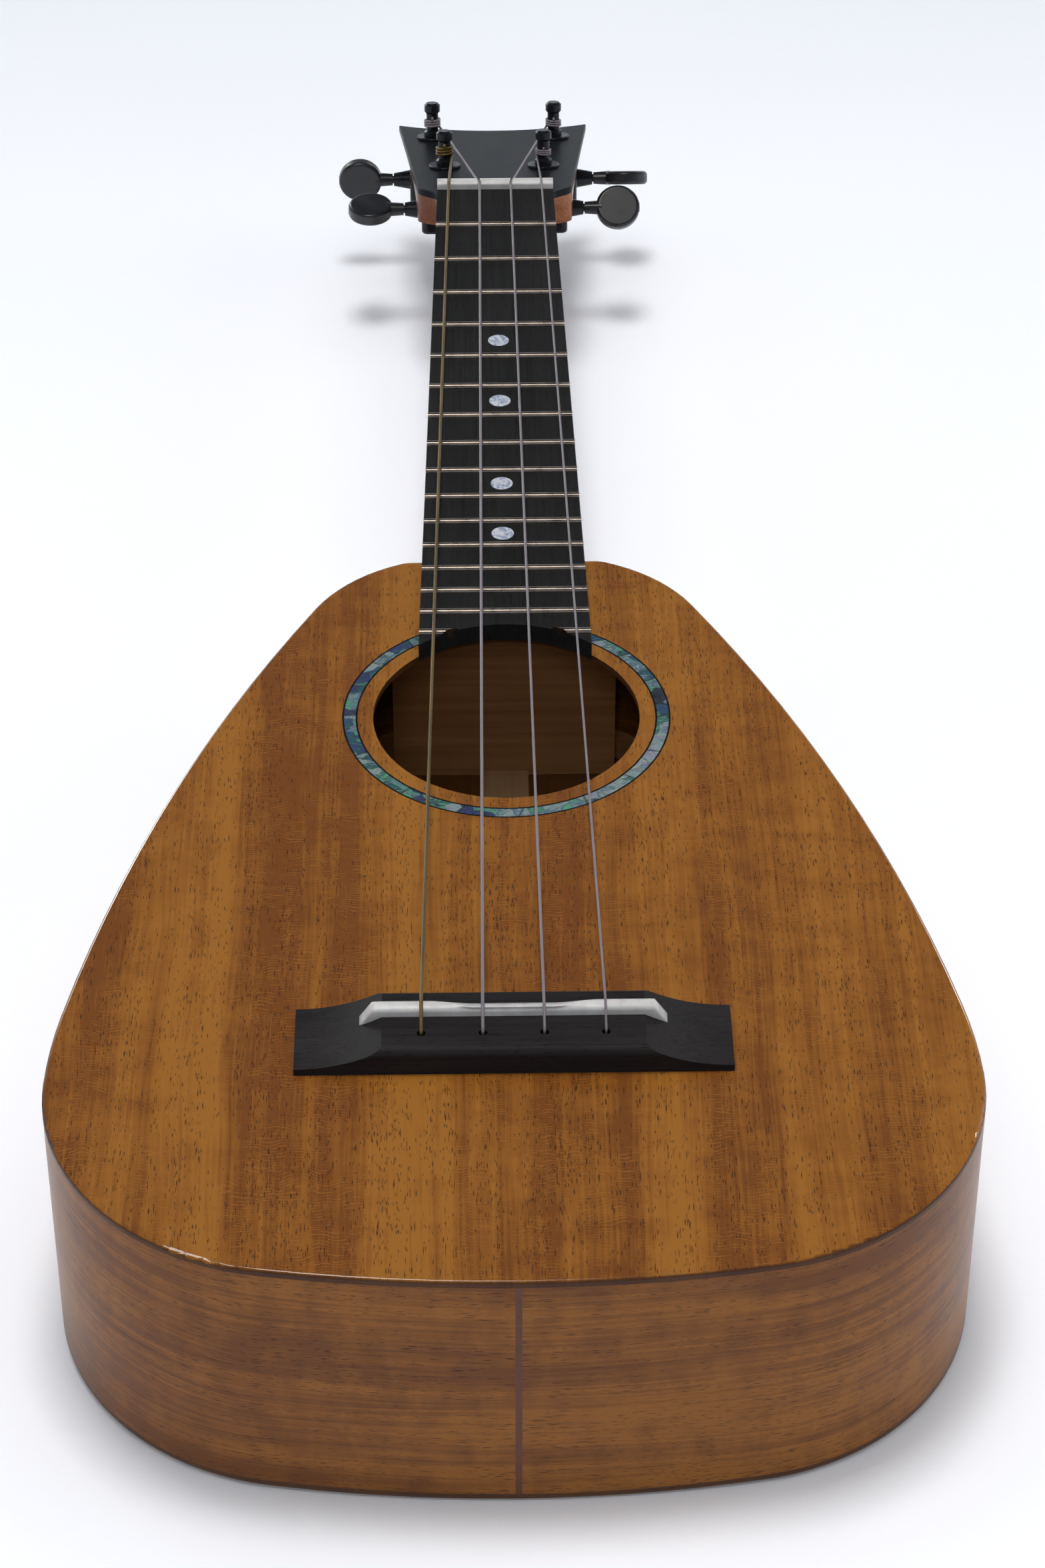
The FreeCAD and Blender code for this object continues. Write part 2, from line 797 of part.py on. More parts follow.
def worm_shaft_shape():
    thread, height = worm_thread()
    worm = joined([cylinder(worm_root_radius, -height / 2 - 0.5, height / 2 + 0.5), thread])
    worm.rotate(Vec(), Vec(0, 0, 1), worm_phase)
    worm.rotate(Vec(), Vec(0, 1, 0), 90)
    stub = x_cylinder(stub_radius, -height / 2 - 0.5 - stub_length, stub_length)
    shaft = x_cylinder(shaft_radius, 0.0, button_centre - shaft_end_depth)
    solid = joined([worm, stub, shaft])
    solid.translate(Vec(0, gear_centres, gear_depth))
    return solid


# The disc's own seam stands away from the bore, so that the cut through its rim is clean.
seam_turn = 50.0


def button_shape(turn):
    """A round disc on the shaft, turned about it."""
    disc = Part.makeCylinder(
        button_radius, button_thickness, Vec(button_centre, 0, -button_thickness / 2)
    )
    disc = disc.makeFillet(button_rounding, [edge for edge in disc.Edges if edge.Length > 20])
    disc.rotate(Vec(button_centre, 0, 0), Vec(0, 0, 1), seam_turn)
    collar = Part.makeCone(
        collar_inner_radius, collar_outer_radius, collar_length,
        Vec(button_centre - button_radius - collar_gap, 0, 0), Vec(1, 0, 0)
    )
    bore_end = button_centre - shaft_end_depth
    head_x = button_centre + button_radius - button_screw_head_height
    screw = joined([
        x_cylinder(button_screw_radius, bore_end, head_x - bore_end),
        x_cylinder(button_screw_head_radius, head_x, button_screw_head_height),
    ])
    seat_bore = x_cylinder(button_screw_head_radius, head_x, button_radius)
    body = joined([disc, collar]).cut(x_cylinder(shaft_radius, 0.0, bore_end))
    body = body.cut(x_cylinder(button_screw_radius, bore_end, button_radius * 2)).cut(seat_bore)
    for shape in (body, screw):
        shape.rotate(Vec(), Vec(1, 0, 0), turn)
        shape.translate(Vec(0, gear_centres, gear_depth))
    return body, screw


def post_shape(string_radius):
    seat_top = gear_depth + wheel_thickness / 2.0
    bottom = -head_thickness - housing_depth + post_foot_gap
    collar_low = bushing_flange_height + post_foot_gap
    bevel = 0.7
    profile = [
        (0.0, bottom),
        (post_journal_radius, bottom),
        (post_journal_radius, seat_top),
        (post_radius, seat_top),
        (post_radius, collar_low),
        (post_collar_radius, collar_low),
        (post_collar_radius, post_waist_low - bevel),
        (post_waist_radius, post_waist_low),
        (post_waist_radius, post_waist_high),
        (post_cap_radius, post_waist_high + bevel),
        (post_cap_radius, post_top - bevel),
        (post_cap_radius - bevel, post_top),
        (0.0, post_top),
    ]
    hole_z = winding_base + winding_turns * 2 * string_radius + string_bore_radius + 0.2
    cross = x_cylinder(string_bore_radius, -2 * post_radius, 4 * post_radius)
    cross.translate(Vec(0, 0, hole_z))
    return turned(profile).cut(cross)


def winding_shape(string_radius):
    top = winding_base + winding_turns * 2 * string_radius
    return tube(post_waist_radius + 2 * string_radius, post_waist_radius, winding_base, top)


def housing_shape():
    top = -head_thickness - base_plate_thickness
    bottom = -head_thickness - housing_depth
    wall = housing_wall
    shell = box(-housing_half_width, housing_half_width, housing_near, housing_far, bottom, top)
    uprights = [edge for edge in shell.Edges if edge.BoundBox.ZLength > 5.0]
    shell = shell.makeFillet(housing_corner, uprights)
    base = [edge for edge in shell.Edges if edge.BoundBox.ZMax < bottom + 0.01]
    shell = shell.makeFillet(housing_rounding, base)
    nose_start = housing_half_width - wall / 2.0
    nose = Part.makeCone(
        nose_base_radius, nose_tip_radius, nose_end - nose_start,
        Vec(nose_start, gear_centres, gear_depth), Vec(1, 0, 0)
    )
    shell = joined([shell, nose])
    hollow = box(
        -housing_half_width + wall, housing_half_width - wall,
        housing_near + wall, housing_far - wall, bottom + wall, top
    )
    hollow_uprights = [edge for edge in hollow.Edges if edge.BoundBox.ZLength > 5.0]
    hollow = hollow.makeFillet(housing_corner - wall, hollow_uprights)
    journal = cylinder(post_journal_radius + running_clearance, bottom - 1.0, top)
    shell = shell.cut(hollow).cut(journal)
    bore = x_cylinder(shaft_radius + running_clearance, 0.0, nose_end + 1.0)
    stub_bore = x_cylinder(stub_radius + running_clearance, -housing_half_width - 1.0, 7.0)
    for hole in (bore, stub_bore):
        hole.translate(Vec(0, gear_centres, gear_depth))
        shell = shell.cut(hole)
    return shell


def base_plate_shape():
    low = -head_thickness - base_plate_thickness
    high = -head_thickness
    plate = box(-housing_half_width, housing_half_width, housing_near, housing_far, low, high)
    uprights = [edge for edge in plate.Edges if edge.BoundBox.ZLength > 0.5]
    plate = plate.makeFillet(housing_corner, uprights)
    ear = cylinder(ear_radius, low, high, 0.0, screw_seat)
    web_end = housing_near + housing_corner
    web = box(-ear_radius, ear_radius, screw_seat, web_end, low, high)
    plate = joined([plate, ear, web])
    plate = plate.cut(cylinder(post_radius + running_clearance, low, high))
    return plate.cut(cylinder(screw_hole_radius, low, high, 0.0, screw_seat))


recess_half_width = 0.25
recess_reach = 1.3
recess_depth = 0.5


def screw_shape():
    low = -head_thickness - base_plate_thickness
    bottom = low - screw_head_height
    shank = cylinder(screw_hole_radius, low, screw_tip, 0.0, screw_seat)
    head = cylinder(screw_head_radius, bottom, low, 0.0, screw_seat)
    rim = [edge for edge in head.Edges if edge.BoundBox.ZMax < bottom + 0.1]
    head = head.makeFillet(screw_head_height / 2.0, rim)
    recess = box(
        -recess_half_width, recess_half_width, screw_seat - recess_reach,
        screw_seat + recess_reach, bottom, bottom + recess_depth
    )
    cross = recess.copy()
    cross.rotate(Vec(0, screw_seat, 0), Vec(0, 0, 1), 90)
    return joined([shank, head]).cut(recess).cut(cross)


def bushing_shape():
    sleeve = cylinder(bushing_radius, -head_thickness, 0.0)
    flange = cylinder(bushing_flange_radius, 0.0, bushing_flange_height)
    rim = [edge for edge in flange.Edges if edge.BoundBox.ZMin > bushing_flange_height - 0.01]
    flange = flange.makeFillet(bushing_flange_height / 2.0, rim)
    bore = cylinder(post_radius + running_clearance, -head_thickness, bushing_flange_height)
    return joined([sleeve, flange]).cut(bore)


def seat(shape, name):
    """Put a right-hand tuner piece on its seat, mirrored for a left-hand tuner."""
    x, along = tuner_seat[name]
    placed = shape.mirror(Vec(), Vec(1, 0, 0)) if x < 0 else shape.copy()
    placed.translate(Vec(x, along, 0))
    return on_head(placed)


def make_tuners():
    wheel = wheel_shape()
    shaft = worm_shaft_shape()
    housing = housing_shape()
    plates = []
    screws = []
    bushings = []
    for name in string_names:
        radius = string_diameter[name] / 2.0
        button, button_screw = button_shape(button_turn[name])
        node_shapes["tuner_post_" + name] = seat(post_shape(radius), name)
        node_shapes["worm_wheel_" + name] = seat(wheel, name)
        node_shapes["string_winding_" + name] = seat(winding_shape(radius), name)
        node_shapes["worm_shaft_" + name] = seat(shaft, name)
        node_shapes["tuner_button_" + name] = seat(button, name)
        node_shapes["button_screw_" + name] = seat(button_screw, name)
        node_shapes["tuner_housing_" + name] = seat(housing, name)
        plates.append(seat(base_plate_shape(), name))
        screws.append(seat(screw_shape(), name))
        bushings.append(seat(bushing_shape(), name))
    node_shapes["tuner_base_plates"] = group(plates)
    node_shapes["tuner_mounting_screws"] = group(screws)
    node_shapes["tuner_bushings"] = group(bushings)


def export():
    whole = Part.makeCompound(list(node_shapes.values())).optimalBoundingBox(False)
    shift = Vec(0, -(whole.YMin + whole.YMax) / 2.0, -whole.ZMin)
    for name, shape in node_shapes.items():
        shape.translate(shift)
        shape.exportStep("parts/" + name + ".step")
        state = "ok" if shape.isValid() and shape.Solids else "BAD"
        print(name, len(shape.Solids), round(shape.Volume, 2), state)
    print("shift", shift, "size", whole.XLength, whole.YLength, whole.ZLength)


make_soundboard()
make_rosette()
make_sides()
make_back()
make_blocks()
lining_core = make_linings()
make_back_bracing(lining_core)
make_top_bracing(lining_core)
make_bridge()
make_saddle()
make_headplate()
make_neck()
make_fretboard()
make_strings()
make_nut()
make_tuners()
export()
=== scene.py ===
import json
import math

import bmesh
import bpy
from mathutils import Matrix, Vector


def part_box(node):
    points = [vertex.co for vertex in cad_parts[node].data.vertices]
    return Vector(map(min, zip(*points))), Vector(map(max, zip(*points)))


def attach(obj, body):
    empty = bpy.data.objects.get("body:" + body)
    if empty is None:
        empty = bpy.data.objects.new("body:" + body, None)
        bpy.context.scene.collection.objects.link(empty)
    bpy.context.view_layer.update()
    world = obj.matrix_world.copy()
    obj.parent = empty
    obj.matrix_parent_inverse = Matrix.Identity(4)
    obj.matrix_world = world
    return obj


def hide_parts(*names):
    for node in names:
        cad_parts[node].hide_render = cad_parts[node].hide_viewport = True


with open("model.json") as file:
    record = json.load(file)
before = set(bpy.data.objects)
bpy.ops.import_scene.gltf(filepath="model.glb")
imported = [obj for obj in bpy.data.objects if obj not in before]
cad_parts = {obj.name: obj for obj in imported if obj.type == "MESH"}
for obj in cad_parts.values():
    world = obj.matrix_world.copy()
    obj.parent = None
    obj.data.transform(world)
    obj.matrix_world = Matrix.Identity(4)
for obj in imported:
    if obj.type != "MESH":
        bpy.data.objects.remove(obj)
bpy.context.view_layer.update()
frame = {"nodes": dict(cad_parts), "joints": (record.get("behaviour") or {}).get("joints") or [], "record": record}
nodes = frame["nodes"]
scene = bpy.context.scene

# ---- places taken from the frame, in metres ----
MM = 0.001
saddle_low, saddle_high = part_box("saddle")
ring_low, ring_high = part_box("rosette_ring")
nut_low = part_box("nut")[0]
bridge_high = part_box("bridge")[1]
top_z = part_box("soundboard")[1].z
SCALE_LINE_OFFSET = 0.5 * MM
scale_y = (saddle_low.y + saddle_high.y) / 2.0 - SCALE_LINE_OFFSET
hole_centre = Vector(((ring_low.x + ring_high.x) / 2.0, (ring_low.y + ring_high.y) / 2.0, top_z))
joint_by_name = {joint["name"]: joint for joint in frame["joints"]}

# ---- sizes of the strings and the posts ----
STRINGS = ("g", "c", "e", "a")
STRING_DIAMETER = {"g": 0.9 * MM, "c": 0.8 * MM, "e": 0.7 * MM, "a": 0.6 * MM}
SADDLE_SPACING = 14.0 * MM
NUT_SPACING = 9.4 * MM
HOLE_Y = scale_y - 6.6 * MM
STRING_LEAN = 0.5 * MM
KNOT_DEPTH = 4.6 * MM
HOLE_RIM_GAP = 0.1 * MM
STRING_BENDS = (1.6 * MM, 2.0 * MM, 3.0 * MM)
LONGEST_PIECE = 20.0 * MM
NUT_GROOVE_Z = top_z + 6.5 * MM
POST_WAIST_RADIUS = 1.9 * MM
WINDING_BASE = 3.4 * MM


# ---- node material builder ----
class Shader:
    """One node material around a Principled shader, with short calls for the usual nodes."""

    def __init__(self, name):
        self.material = bpy.data.materials.new(name)
        self.material.use_nodes = True
        self.tree = self.material.node_tree
        self.tree.nodes.clear()
        self.output = self.tree.nodes.new("ShaderNodeOutputMaterial")
        self.surface = self.tree.nodes.new("ShaderNodeBsdfPrincipled")
        self.link(self.surface.outputs["BSDF"], self.output.inputs["Surface"])
        self.place = self.tree.nodes.new("ShaderNodeTexCoord").outputs["Object"]

    def link(self, source, target):
        self.tree.links.new(source, target)

    def feed(self, socket, value):
        if isinstance(value, bpy.types.NodeSocket):
            self.link(value, socket)
        else:
            socket.default_value = value

    def set(self, **values):
        for name, value in values.items():
            self.feed(self.surface.inputs[name.replace("_", " ")], value)

    def stretch(self, scale, source=None):
        node = self.tree.nodes.new("ShaderNodeVectorMath")
        node.operation = "MULTIPLY"
        self.link(source or self.place, node.inputs[0])
        node.inputs[1].default_value = scale
        return node.outputs[0]

    def shift(self, offset, source=None):
        node = self.tree.nodes.new("ShaderNodeVectorMath")
        node.operation = "ADD"
        self.link(source or self.place, node.inputs[0])
        self.feed(node.inputs[1], offset)
        return node.outputs[0]

    def noise(self, vector, detail, roughness=0.5, distortion=0.0):
        node = self.tree.nodes.new("ShaderNodeTexNoise")
        self.link(vector, node.inputs["Vector"])
        node.inputs["Scale"].default_value = 1.0
        node.inputs["Detail"].default_value = detail
        node.inputs["Roughness"].default_value = roughness
        node.inputs["Distortion"].default_value = distortion
        return node.outputs["Fac"]

    def noise_vector(self, vector, amount):
        node = self.tree.nodes.new("ShaderNodeTexNoise")
        self.link(vector, node.inputs["Vector"])
        node.inputs["Scale"].default_value = 1.0
        centre = self.tree.nodes.new("ShaderNodeVectorMath")
        centre.operation = "SUBTRACT"
        self.link(node.outputs["Color"], centre.inputs[0])
        centre.inputs[1].default_value = (0.5, 0.5, 0.5)
        scaled = self.tree.nodes.new("ShaderNodeVectorMath")
        scaled.operation = "MULTIPLY"
        self.link(centre.outputs[0], scaled.inputs[0])
        scaled.inputs[1].default_value = amount
        return scaled.outputs[0]

    def cells(self, vector, feature="F1"):
        node = self.tree.nodes.new("ShaderNodeTexVoronoi")
        node.feature = feature
        self.link(vector, node.inputs["Vector"])
        node.inputs["Scale"].default_value = 1.0
        return node

    def math(self, operation, first, second=0.0, third=0.0):
        node = self.tree.nodes.new("ShaderNodeMath")
        node.operation = operation
        self.feed(node.inputs[0], first)
        self.feed(node.inputs[1], second)
        self.feed(node.inputs[2], third)
        return node.outputs[0]

    def span(self, value, low, high, start, end):
        node = self.tree.nodes.new("ShaderNodeMapRange")
        node.clamp = True
        for socket, amount in zip(node.inputs, (value, low, high, start, end)):
            self.feed(socket, amount)
        return node.outputs[0]

    def mix(self, share, first, second):
        node = self.tree.nodes.new("ShaderNodeMix")
        node.data_type = "RGBA"
        node.blend_type = "MIX"
        self.feed(node.inputs["Factor"], share)
        self.feed(node.inputs[6], first)
        self.feed(node.inputs[7], second)
        return node.outputs[2]

    def ramp(self, value, stops):
        node = self.tree.nodes.new("ShaderNodeValToRGB")
        self.feed(node.inputs["Fac"], value)
        band = node.color_ramp
        while len(band.elements) < len(stops):
            band.elements.new(0.5)
        for element, (position, colour) in zip(band.elements, stops):
            element.position = position
            element.color = colour
        return node.outputs["Color"]

    def parts(self, vector):
        node = self.tree.nodes.new("ShaderNodeSeparateXYZ")
        self.link(vector, node.inputs[0])
        return node.outputs

    def normal(self):
        node = self.tree.nodes.new("ShaderNodeNewGeometry")
        return self.parts(node.outputs["Normal"])

    def bump(self, height, strength, distance):
        node = self.tree.nodes.new("ShaderNodeBump")
        node.inputs["Strength"].default_value = strength
        node.inputs["Distance"].default_value = distance
        self.link(height, node.inputs["Height"])
        self.link(node.outputs["Normal"], self.surface.inputs["Normal"])


def rgb(red, green, blue):
    """A colour given in display values from 0 to 255, as the linear colour that nodes hold."""
    linear = []
    for value in (red, green, blue):
        share = value / 255.0
        linear.append(share / 12.92 if share <= 0.04045 else ((share + 0.055) / 1.055) ** 2.4)
    return (*linear, 1.0)


# ---- wood ----
# Each layer of the figure has so many cells per metre across the grain and along it.
WARP_CELLS = (26.0, 8.0)
WARP_REACH = 7.0 * MM
STRIPE_RUN = 2.4
NARROW_STRIPE_RATIO = 3.1
NARROW_STRIPE_RUN = 4.5
LINE_CELLS = (1250.0, 22.0)
CHAIN_CELLS = (430.0, 9.0)
MOTTLE_CELLS = (95.0, 150.0)
TONE_STOPS = (0.38, 0.5, 0.61)
# How much lighter than the light tone the painted sheen of the silk is.
SHEEN_LIFT = 1.08
WOOD_ROUGHNESS = 0.3
GRAIN_RELIEF = 0.3 * MM

# Silk ripples across the grain, painted as a lighter colour for the figure's sheen: how far apart they stand, and
# the noise that bends and breaks them.
RIPPLE_PITCH = 0.95 * MM
SWAY_CELLS = (150.0, 90.0)
SWAY_PHASE = 34.0
DRIFT_CELLS = (420.0, 260.0)
DRIFT_PHASE = 7.0
BREAK_CELLS = (330.0, 900.0)
PATCH_CELLS = (120.0, 45.0)

# Sets of pores: cells per metre across and along, dash radius in cells, and the share shown.
BROAD_PORES = (
    (1700.0, 210.0, 0.19, 0.42),
    (2200.0, 140.0, 0.19, 0.42),
    (2600.0, 420.0, 0.25, 0.34),
)
RIM_PORES = (
    (1900.0, 200.0, 0.2, 0.62),
    (2500.0, 330.0, 0.21, 0.56),
    (2200.0, 120.0, 0.18, 0.46),
)

# How much the broad stripes, narrow stripes, fine lines, mottle and pore chains sway the tone.
BROAD_SHARES = (0.7, 0.3, 0.34, 0.24, 0.18)
RIM_SHARES = (0.46, 0.22, 0.42, 0.3, 0.3)

# Plates differ in colour at their edges and on the inside; the inside colour is the bare wood, darkened further as
# painted shade inside the body. Spans are of the normal's upright part.
EDGE_COLOUR_SPAN = (0.86, 0.5)
EDGE_COLOUR_SHARE = 0.85
EDGE_COAT_SPAN = (0.6, 0.82)
EDGE_COAT = 0.08
INSIDE_SPAN = (0.2, 0.7)
INSIDE_TONE_AND_SHADE_SHARE = 0.8


def neck_axes(across, length):
    """Values laid out for grain along the neck."""
    return (across, length, across)


def cross_axes(across, length):
    """Values laid out for grain from side to side."""
    return (length, across, across)


def rim_axes(across, length):
    """Values laid out for a strip whose grain runs round the body."""
    return (length, length, across)


def wood(name, axes, light, middle, dark, pore, **options):
    """Mahogany under lacquer: ribbon stripes, fine lines, short dark pores, and silk whose sheen is painted as a
    lighter colour.
    """
    shader = Shader(name)
    stripe = options["stripe"]
    narrow_stripe = stripe * NARROW_STRIPE_RATIO
    warp = shader.noise_vector(shader.stretch(axes(*WARP_CELLS)), axes(WARP_REACH, 0.0))
    bent = shader.shift(warp)
    broad = shader.noise(shader.stretch(axes(stripe, options.get("run", STRIPE_RUN)), bent), detail=1.5)
    narrow = shader.noise(shader.stretch(axes(narrow_stripe, NARROW_STRIPE_RUN), bent), detail=2.5)
    lines = shader.noise(shader.stretch(axes(*LINE_CELLS), bent), detail=3.0, roughness=0.6)
    chains = shader.noise(shader.stretch(axes(*CHAIN_CELLS), bent), detail=2.0)
    mottle = shader.noise(shader.stretch(axes(*MOTTLE_CELLS), bent), detail=3.0)
    shares = options.get("shares", BROAD_SHARES)
    tone = weigh(shader, zip((broad, narrow, lines, mottle, chains), shares))
    contrast = options.get("contrast", 1.0)
    tone = shader.math("MULTIPLY_ADD", shader.math("SUBTRACT", tone, 0.5), contrast, 0.5)
    colour = shader.ramp(tone, list(zip(TONE_STOPS, (dark, middle, light))))
    # Painted sheen: the silk figure's shimmer is mixed in as a lighter colour.
    silk = silk_sheen_mask(shader, axes, bent, tone)
    painted_sheen_colour = tuple(min(1.0, value * SHEEN_LIFT) for value in light[:3]) + (1.0,)
    colour = shader.mix(shader.math("MULTIPLY", silk, options["silk"]), colour, painted_sheen_colour)
    pores = pore_mask(shader, axes, bent, chains, options.get("pore_sets", BROAD_PORES))
    colour = shader.mix(shader.math("MULTIPLY", pores, options.get("pores", 0.85)), colour, pore)
    coat = options["coat"]
    # Upward faces inside the body take a darker bare tone: partly the unlacquered wood, partly painted shade
    # inside the box.
    if "inside" in options:
        upward = shader.normal()[2]
        inside = shader.span(upward, *INSIDE_SPAN, 0.0, INSIDE_TONE_AND_SHADE_SHARE)
        colour = shader.mix(inside, colour, options["inside"])
    if "edge" in options:
        upright = shader.math("ABSOLUTE", shader.normal()[2])
        edge = shader.span(upright, *EDGE_COLOUR_SPAN, 0.0, EDGE_COLOUR_SHARE)
        colour = shader.mix(edge, colour, options["edge"])
        coat = shader.span(upright, *EDGE_COAT_SPAN, EDGE_COAT, coat)
    shader.set(Base_Color=colour)
    shader.set(Roughness=shader.span(lines, 0.2, 0.8, WOOD_ROUGHNESS * 0.85, WOOD_ROUGHNESS * 1.2))
    shader.set(Coat_Weight=coat, Coat_Roughness=options.get("coat_roughness", 0.05))
    shader.set(Specular_IOR_Level=options["specular"])
    relief = shader.math("SUBTRACT", shader.math("MULTIPLY", lines, 0.25), pores)
    shader.bump(relief, 0.1, GRAIN_RELIEF)
    return shader.material


def weigh(shader, shares):
    """The weighted sum of some values about their middle, 0.5."""
    total = 0.5
    for value, share in shares:
        lean = shader.math("MULTIPLY", shader.math("SUBTRACT", value, 0.5), share)
        total = shader.math("ADD", lean, total)
    return total


def silk_sheen_mask(shader, axes, place, tone):
    """Where the silk's painted sheen goes: fine ripples that run across the grain, in patches, strongest in the
    dark bands.
    """
    sway = shader.noise(shader.stretch(axes(*SWAY_CELLS), place), detail=1.0)
    drift = shader.noise(shader.stretch(axes(*DRIFT_CELLS), place), detail=1.0)
    along = shader.parts(place)[1]
    phase = weigh(shader, [(sway, SWAY_PHASE), (drift, DRIFT_PHASE)])
    phase = shader.math("MULTIPLY_ADD", along, 2.0 * math.pi / RIPPLE_PITCH, phase)
    crest = shader.span(shader.math("SINE", phase), 0.2, 1.0, 0.0, 1.0)
    broken = shader.noise(shader.stretch(axes(*BREAK_CELLS), place), detail=1.0)
    broken = shader.span(broken, 0.42, 0.58, 0.1, 1.0)
    patches = shader.noise(shader.stretch(axes(*PATCH_CELLS), place), detail=2.0)
    patches = shader.span(patches, 0.38, 0.56, 0.05, 1.0)
    dark_share = shader.span(tone, 0.44, 0.64, 1.0, 0.3)
    crest = shader.math("MULTIPLY", crest, broken)
    return shader.math("MULTIPLY", shader.math("MULTIPLY", crest, patches), dark_share)


def pore_mask(shader, axes, place, clusters, pore_sets):
    """Short dark dashes along the grain, crowded into chains where the clusters value is high."""
    mask = 0.0
    for across, length, size, share in pore_sets:
        cells = shader.cells(shader.stretch(axes(across, length), place))
        seeds = shader.parts(cells.outputs["Color"])
        limit = shader.span(clusters, 0.38, 0.62, share * 0.25, share * 2.2)
        shown = shader.math("LESS_THAN", seeds[0], limit)
        reach = shader.span(seeds[1], 0.0, 1.0, size * 0.6, size * 1.3)
        inside = shader.math("DIVIDE", cells.outputs["Distance"], reach)
        dash = shader.span(inside, 0.55, 1.2, 1.0, 0.0)
        mask = shader.math("MAXIMUM", mask, shader.math("MULTIPLY", dash, shown))
    return mask


# ---- bare wood and ebony, cells per metre across the grain and along it ----
BARE_GRAIN_CELLS = (420.0, 14.0)
BARE_CLOUD_CELLS = (30.0, 30.0)
EBONY_GRAIN_CELLS = (1400.0, 30.0)
EBONY_CLOUD_CELLS = (90.0, 12.0)
EBONY_PORE_CELLS = (1700.0, 190.0)
EBONY_PORE_EDGE = (0.14, 0.22)
EBONY_TONES = (0.72, 1.35)
EBONY_PORE = rgb(6, 6, 6)


def tinted(tone, share):
    """The colour of a tone in display values, with each value times the share."""
    return rgb(*[min(255, value * share) for value in tone])


def bare_wood(name, light, dark, axes=neck_axes):
    """Sanded wood without lacquer: fine grain over soft clouds."""
    shader = Shader(name)
    grain = shader.noise(shader.stretch(axes(*BARE_GRAIN_CELLS)), detail=4.0, roughness=0.6)
    cloud = shader.noise(shader.stretch(axes(*BARE_CLOUD_CELLS)), detail=2.0)
    tone = shader.math("ADD", shader.math("MULTIPLY", grain, 0.7), shader.math("MULTIPLY", cloud, 0.3))
    shader.set(Base_Color=shader.ramp(tone, [(0.35, dark), (0.65, light)]))
    shader.set(Roughness=shader.span(grain, 0.2, 0.8, 0.55, 0.75))
    shader.bump(grain, 0.25, 0.3 * MM)
    return shader.material


def ebony(name, tone, roughness, specular=0.3, axes=neck_axes):
    """Black wood with soft grain and short pores."""
    shader = Shader(name)
    grain = shader.noise(shader.stretch(axes(*EBONY_GRAIN_CELLS)), detail=4.0, roughness=0.65)
    cloud = shader.noise(shader.stretch(axes(*EBONY_CLOUD_CELLS)), detail=2.0)
    pores = shader.cells(shader.stretch(axes(*EBONY_PORE_CELLS)))
    dash = shader.span(pores.outputs["Distance"], *EBONY_PORE_EDGE, 1.0, 0.0)
    low, high = [tinted(tone, share) for share in EBONY_TONES]
    blend = shader.math("ADD", shader.math("MULTIPLY", grain, 0.6), shader.math("MULTIPLY", cloud, 0.4))
    colour = shader.ramp(blend, [(0.3, low), (0.72, high)])
    shader.set(Base_Color=shader.mix(shader.math("MULTIPLY", dash, 0.7), colour, EBONY_PORE))
    shader.set(Roughness=shader.span(blend, 0.25, 0.75, roughness * 0.88, roughness * 1.12))
    shader.set(Specular_IOR_Level=specular)
    shader.bump(shader.math("SUBTRACT", shader.math("MULTIPLY", grain, 0.5), dash), 0.15, 0.2 * MM)
    return shader.material


# ---- shell ----
SHELL_PIECES = 17
SHELL_END_WANDER = 2.4
SHELL_JUMP = (9.0, 9.0, 9.0)
SHELL_CELLS = (300.0, 300.0, 300.0)
FACET_CELLS = (0.55, 0.9, 1.0)
WAVE_CELLS = (1.1, 2.6, 1.0)
PALE_DIRECTION = math.radians(-55.0)
PALE_SPAN = (0.72, 0.9)
SHELL_COLOURS = (
    (0.02, rgb(34, 40, 46)), (0.14, rgb(56, 62, 72)), (0.22, rgb(54, 62, 112)),
    (0.29, rgb(48, 84, 92)), (0.36, rgb(52, 96, 84)), (0.43, rgb(82, 104, 104)),
    (0.49, rgb(78, 152, 112)), (0.56, rgb(92, 94, 126)), (0.63, rgb(112, 136, 136)),
    (0.71, rgb(132, 148, 142)), (0.8, rgb(126, 124, 148)), (0.9, rgb(148, 170, 142)),
)
SHELL_CRACK = rgb(40, 40, 44)
SHELL_SEAM = rgb(34, 32, 32)
PEARL_CELLS = (420.0, 300.0, 420.0)
PEARL_COLOURS = ((0.3, rgb(120, 136, 158)), (0.5, rgb(176, 184, 198)), (0.7, rgb(206, 204, 206)))


